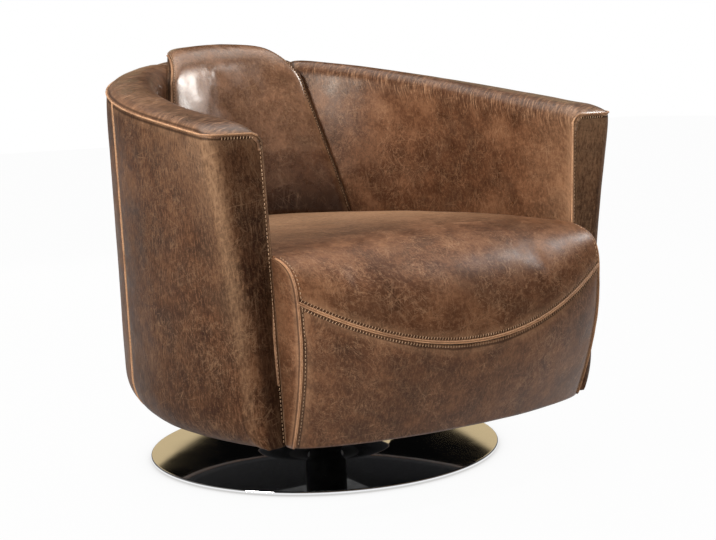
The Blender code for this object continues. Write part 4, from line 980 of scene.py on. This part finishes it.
rim_s = np.linspace(-3, 3, 700)
rim_z = rim(rim_s) - RIM_DROP
rim_path = skin(rim_s, rim_z)[1:-1]
rim_out = outward(rim_s, rim_z, 0.55)[1:-1]
edge_q = steps(0, (160, 3), (120, 3.995))
front_edge = {"right": lining_point(3.0, edge_q, WALL_FOOT)}
front_edge["left"] = front_edge["right"] * (-1, 1, 1)
over_top = edge_q < 2.5
left, right = front_edge["left"], front_edge["right"]
left_up, right_up = front_up(left), front_up(right)
whole_path = np.concatenate((left[over_top][::-1], rim_path, right[over_top]))
whole_up = np.concatenate((left_up[over_top][::-1], rim_out, right_up[over_top]))
lip("rim_edge", whole_path, unit(whole_up), 0.0026, 0.0030, profile=ROUND_LIP)
# The left arm front's edge is painted in shade with the shaded copy of the raw edge
lip("arm_front_edge_left", left[~over_top], left_up[~over_top], 0.0022, 0.0026, look=RAW_SHADED)
lip("arm_front_edge_right", right[~over_top], right_up[~over_top], 0.0030, 0.0030, profile=ROUND_LIP)
for side_name, side in SIDES:
    arm = "outside_arm_" + side_name
    path = front_edge[side_name]
    inward = -from_middle(path, 0.004)
    top_run = edge_q < 2.6
    stitch(arm, path[top_run], inward[top_run], pitch=0.0052, length=0.0048, slant=1.3)
    stitch(arm, path[~top_run], inward[~top_run], gap=0.0044)
    z = np.linspace(WALL_FOOT + 0.004, rim(REAR_STATION) - RIM_DROP, 200)
    s = np.full(len(z), REAR_STATION * side)
    path = skin(s, z)
    out = outward(s, z)
    lip("rear_edge_" + side_name, path, out)
    stitch(arm, path, facing(np.cross(out, (0, 0, 1.0)), (0, -1, 0)))

SMILE_STITCH = dict(gap=0.0056, pitch=0.0050, length=0.0050, slant=1.35)
smile_e = np.linspace(-1, 1, 400)
path = seat_point(smile_e, smile(smile_e))
ahead = unit(seat_point(smile_e, smile(smile_e) + 0.01) - path)
out = facing(np.cross(ahead, tangent_of(path)), (0, -1, 0.3))
lip("seat_seam_edge", path, out, width=0.0054, height=0.0040)
stitch("seat_front", path, ahead, **SMILE_STITCH)
stitch("seat_top", path, -ahead, **SMILE_STITCH)
for side_name, side in SIDES:
    g = steps(GUSSET_FIRST, (400, 2), (90, 2.985))
    path = seat_point(side, g) + (side * 0.0012, 0, 0)
    out = facing(np.cross(tangent_of(path), (side, 0, 0)), (0, -1, 0.4))
    lip("seat_corner_edge_" + side_name, path, unit(out) + np.array((side * 0.7, 0, 0)))
    inward = seat_point(side * 0.98, g) - path
    upper = g < smile(1.0) - 0.01
    for name, rows in (("seat_top", upper), ("seat_front", ~upper)):
        stitch(name, path[rows], inward[rows])
    q = steps(0.7, (10, 1), (30, 2), (60, 3), (140, 3.99))
    path = cushion_point(side, q)
    inward = cushion_point(side * 0.95, q) - path
    out = unit(path - cushion_point(side, q, 0.3)) - unit(inward) * 0.8
    # Painted shade: the right edge's lip, in the crease by the wall, takes the shaded copy of the raw edge
    lip("cushion_edge_" + side_name, path, out, 0.0028, 0.0028, look=RAW if side < 0 else RAW_SHADED)
    stitch("cushion_front", path, inward)
sew("stitching")

# Base, turned smooth
DISC_BORE, BORE_SPLIT, LOW_ROUND, TOP_ROUND, BOSS_START = 0.0165, 0.004, 0.002, 0.0025, 0.74
TOP_BORE, FOOT_BORE, COLUMN_ROUND, COLUMN_BEVEL, FLANGE_BEVEL = 0.0262, 0.018, 0.004, 0.001, 0.002


def turned(name, section, count, look, node, slot):
    """A round piece from its section of radii and heights."""
    turns = [2 * math.pi * j / count for j in range(count)]
    points = [(r * math.cos(w), r * math.sin(w), z) for w in turns for r, z in section]
    index = np.arange(len(points)).reshape(count, -1)
    settle(obj_from(name, points, ring_faces(index.T), look), "base", slot, node)


def arc(r, z, radius, start, stop, count):
    """Part of a round edge about a middle, between two angles."""
    return [(r + radius * math.cos(w), z + radius * math.sin(w)) for w in np.linspace(start, stop, count)]


def boss(t):
    """Height of the disc on the way in to its flange: flat for most of it, so that it mirrors evenly."""
    t = float(ramp(t, BOSS_START, 1))
    return DISC_FOOT + DISC_EDGE + DISC_RISE * (t * t * (3 - 2 * t))


section = [(DISC_BORE, DISC_FOOT + BORE_SPLIT), (DISC_BORE, DISC_FOOT), (DISC_RADIUS - 0.003, DISC_FOOT),
           *arc(DISC_RADIUS - LOW_ROUND, DISC_FOOT + LOW_ROUND, LOW_ROUND, -math.pi / 2, 0, 6),
           *arc(DISC_RADIUS - TOP_ROUND, DISC_FOOT + DISC_EDGE - TOP_ROUND, TOP_ROUND, 0, math.pi / 2, 8),
           *((mix(DISC_RADIUS - 0.004, FLANGE_RADIUS, t), boss(t)) for t in np.linspace(0, 1, 90)),
           (DISC_BORE, DISC_TOP), (DISC_BORE, DISC_FOOT + BORE_SPLIT)]
turned("polished_disc", section, 256, CHROME, "base_disc", "polished_chrome")

flange_top = COLUMN_FOOT + FLANGE_THICK
foot_round = arc(COLUMN_RADIUS + COLUMN_ROUND, flange_top + COLUMN_ROUND, COLUMN_ROUND, math.pi + 0.2,
                 1.5 * math.pi, 6)
section = [(TOP_BORE, COLUMN_TOP - 0.004), (TOP_BORE, COLUMN_TOP),
           (COLUMN_RADIUS - COLUMN_BEVEL, COLUMN_TOP), (COLUMN_RADIUS, COLUMN_TOP - COLUMN_BEVEL),
           (COLUMN_RADIUS, flange_top + COLUMN_ROUND), *foot_round,
           (FLANGE_RADIUS - FLANGE_BEVEL, flange_top), (FLANGE_RADIUS, flange_top - FLANGE_BEVEL),
           (FLANGE_RADIUS, COLUMN_FOOT), (FOOT_BORE, COLUMN_FOOT), (FOOT_BORE, COLUMN_FOOT + 0.002)]
turned("column", section, 128, ENAMEL, "pedestal_column", "black_enamel")

# Dust cover, drawn tight under the tub, and felt on the springs
COVER_INSET, COVER_SAG = 0.0100, 0.0003
cover_low, cover_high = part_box("dust_cover")
ring = skin(np.linspace(-2, 2, 160), WALL_FOOT, COVER_INSET)[:, :2]
ring[:, 1] = np.maximum(ring[:, 1], cover_low[1])
shares = np.linspace(1, 0, 14)[:-1]
points = []
for level in (cover_low[2], cover_high[2]):
    for t in shares:
        points += [(x * t, y * t, level - COVER_SAG * math.sin(math.pi * t)) for x, y in ring]
    points.append((0, 0, level))
index = np.arange(len(shares) * len(ring)).reshape(-1, len(ring))
ahead = np.roll(index, -1, axis=1)
layer = index.size + 1
rows = ring_faces(index)
tips = np.stack((index[-1], ahead[-1], np.full(len(ring), index.size)), axis=-1)
hem = np.stack((index[0], ahead[0], ahead[0] + layer, index[0] + layer), axis=-1)
faces = [*rows[:, ::-1], *tips[:, ::-1], *(rows + layer), *(tips + layer), *hem]
cover = obj_from("dust_cloth", points, faces, CAMBRIC)
settle(cover, "chair", "black_cloth", "dust_cover")

pad_low, pad_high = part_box("spring_pad")
e = np.linspace(-1, 1, 50)[:, None]
y = np.linspace(pad_low[1], pad_high[1], 60)[None, :]
z = pad_high[2] - 0.0002
grid = np.stack((e * seat_half(y, z), y + 0 * e, z + 0 * e * y), axis=-1)
panel("felt_pad", grid, FELT, ["spring_pad"], (), wave=0.0005, wave_scale=30.0, thick=0.0036, dip=0.0,
      fill=0.3, seed=80.0, slot="grey_felt")

# Floor: pale to the camera and in the metal, with a painted soft shadow, from ambient occlusion, where the
# base stands close to it
FLOOR_HALF, SHADOW_REACH, FLOOR_WHITE = 15, 0.12, 0.975
g = Look("pale_floor", (0.34, 0.34, 0.34))
g.finish(0.6)
painted_shadow = g.node("AmbientOcclusion", {"Distance": SHADOW_REACH}, samples=8).outputs["AO"]
glow = g.node("Emission", {"Color": g.mix(painted_shadow, (0.58, 0.57, 0.56), (1, 1, 1)), "Strength": 1.0}).outputs[0]
ray = g.node("LightPath").outputs
seen = g.most(ray["Is Camera Ray"], g.most(ray["Is Glossy Ray"], ray["Is Transmission Ray"]))
shown = g.blend(g.times(seen, FLOOR_WHITE), g.shader.outputs[0], glow)
g.set(g.tree.nodes["Material Output"].inputs["Surface"], shown)
corners = [(x * FLOOR_HALF, y * FLOOR_HALF, 0) for x, y in ((-1, -1), (1, -1), (1, 1), (-1, 1))]
obj_from("floor", corners, [(0, 1, 2, 3)], g.material)

# The surroundings: even light, white to the camera, and what the disc and the hide mirror: a dark board
# behind the chair, wider towards its top, with a band of cream wall on either side of it
BOARD_TURN = math.radians(30)  # from +Y towards +X
BOARD_LOW, BOARD_HIGH = 0.238, 0.268  # heights of a unit direction
BOARD_LOW_HALF, BOARD_HIGH_HALF = math.radians(4.6), math.radians(7.6)
WALL_NEAR, WALL_FAR = math.radians(12), math.radians(16)
world = bpy.data.worlds.new("studio")
bpy.context.scene.world = world
w = Graph(world)
toward = w.node("TexCoord").outputs["Generated"]
height = w.node("SeparateXYZ", {0: toward}).outputs["Z"]
heading = w.vector("NORMALIZE", w.vector("MULTIPLY", toward, (1, 1, 0)))
board_way = (math.sin(BOARD_TURN), math.cos(BOARD_TURN), 0)
ahead = w.vector("DOT_PRODUCT", heading, board_way, "Value")
wall = w.times(w.map(height, 0.10, 0.19), w.map(height, 0.30, 0.42, 1, 0))
wall = w.times(wall, w.map(ahead, math.cos(WALL_FAR), math.cos(WALL_NEAR)))
board_edge = w.map(height, BOARD_LOW, BOARD_HIGH, math.cos(BOARD_LOW_HALF), math.cos(BOARD_HIGH_HALF))
beside = w.map(w.math("SUBTRACT", board_edge, ahead), -0.0003, 0.0003)
mirrored = w.mix(wall, (0.20, 0.195, 0.19), (0.78, 0.61, 0.35))
mirrored = w.mix(beside, (0.002, 0.002, 0.002), mirrored)
light = w.node("Background", {"Color": (1.0, 0.98, 0.95, 1), "Strength": 0.26}).outputs[0]
room = w.node("Background", {"Color": mirrored, "Strength": 0.75}).outputs[0]
white = w.node("Background", {"Color": (1, 1, 1, 1), "Strength": 1.0}).outputs[0]
ray = w.node("LightPath").outputs
glossy = w.most(ray["Is Glossy Ray"], ray["Is Transmission Ray"])
shown = w.blend(ray["Is Camera Ray"], w.blend(glossy, light, room), white)
w.set(w.tree.nodes["World Output"].inputs["Surface"], shown)


def lamp(name, at, target, size, power, colour):
    data = bpy.data.lights.new(name, "AREA")
    data.shape = "RECTANGLE"
    data.size, data.size_y = size
    data.energy = power
    data.color = colour
    made = bpy.data.objects.new(name, data)
    bpy.context.collection.objects.link(made)
    made.location = at
    made.rotation_euler = (Vector(target) - Vector(at)).to_track_quat("-Z", "Y").to_euler()
    return made


WARM = (1.0, 0.98, 0.95)
lamp("key", (-2.6, -0.75, 1.5), (0, 0, 0.5), (0.7, 1.3), 96, (1.0, 0.97, 0.93))
fill = lamp("fill", (0.6, -3.0, 1.5), (0, 0, 0.4), (1.6, 1.6), 34, WARM)
lamp("top", (0.2, 0.6, 2.8), (0, 0, 0.5), (2.6, 2.2), 54, WARM)
highlight = lamp("highlight", (1.95, -0.34, 2.04), (-0.15, 0.22, 0.68), (0.36, 0.70), 70, (0.95, 0.98, 1.0))
back = lamp("back", (0.9, 3.0, 1.3), (0, 0, 0.4), (1.6, 1.6), 46, WARM)
# The fill and the back lamp only lift the shadows, and the highlight is only seen mirrored in the hide
fill.visible_glossy = False
back.visible_glossy = False
highlight.visible_diffuse = False

# The photograph's camera, fitted to the disc and the arms
AZIMUTH, PITCH, ROLL, PAN = (math.radians(degrees) for degrees in (-30, 7.56, -2.25, -1.69))
EYE, AWAY = 0.661, 2.51  # height, and distance from the swivel's axis
FOCAL, IMAGE_WIDTH, SENSOR = 1378.0, 716, 36  # the first two in pixels, the sensor in millimetres
yaw = AZIMUTH + PAN
ahead = Vector((-math.sin(yaw) * math.cos(PITCH), math.cos(yaw) * math.cos(PITCH), -math.sin(PITCH)))
level = Vector((math.cos(yaw), math.sin(yaw), 0))
upright = level.cross(ahead)
right = level * math.cos(ROLL) + upright * math.sin(ROLL)
up = upright * math.cos(ROLL) - level * math.sin(ROLL)
data = bpy.data.cameras.new("camera")
data.sensor_width = SENSOR
data.lens = FOCAL / IMAGE_WIDTH * SENSOR
data.clip_end = 100
camera = bpy.data.objects.new("camera", data)
bpy.context.collection.objects.link(camera)
stand = Matrix.Translation((math.sin(AZIMUTH) * AWAY, -math.cos(AZIMUTH) * AWAY, EYE))
camera.matrix_world = stand @ Matrix((right, up, -ahead)).transposed().to_4x4()
bpy.context.scene.camera = camera
bpy.context.scene.view_settings.view_transform = "Standard"
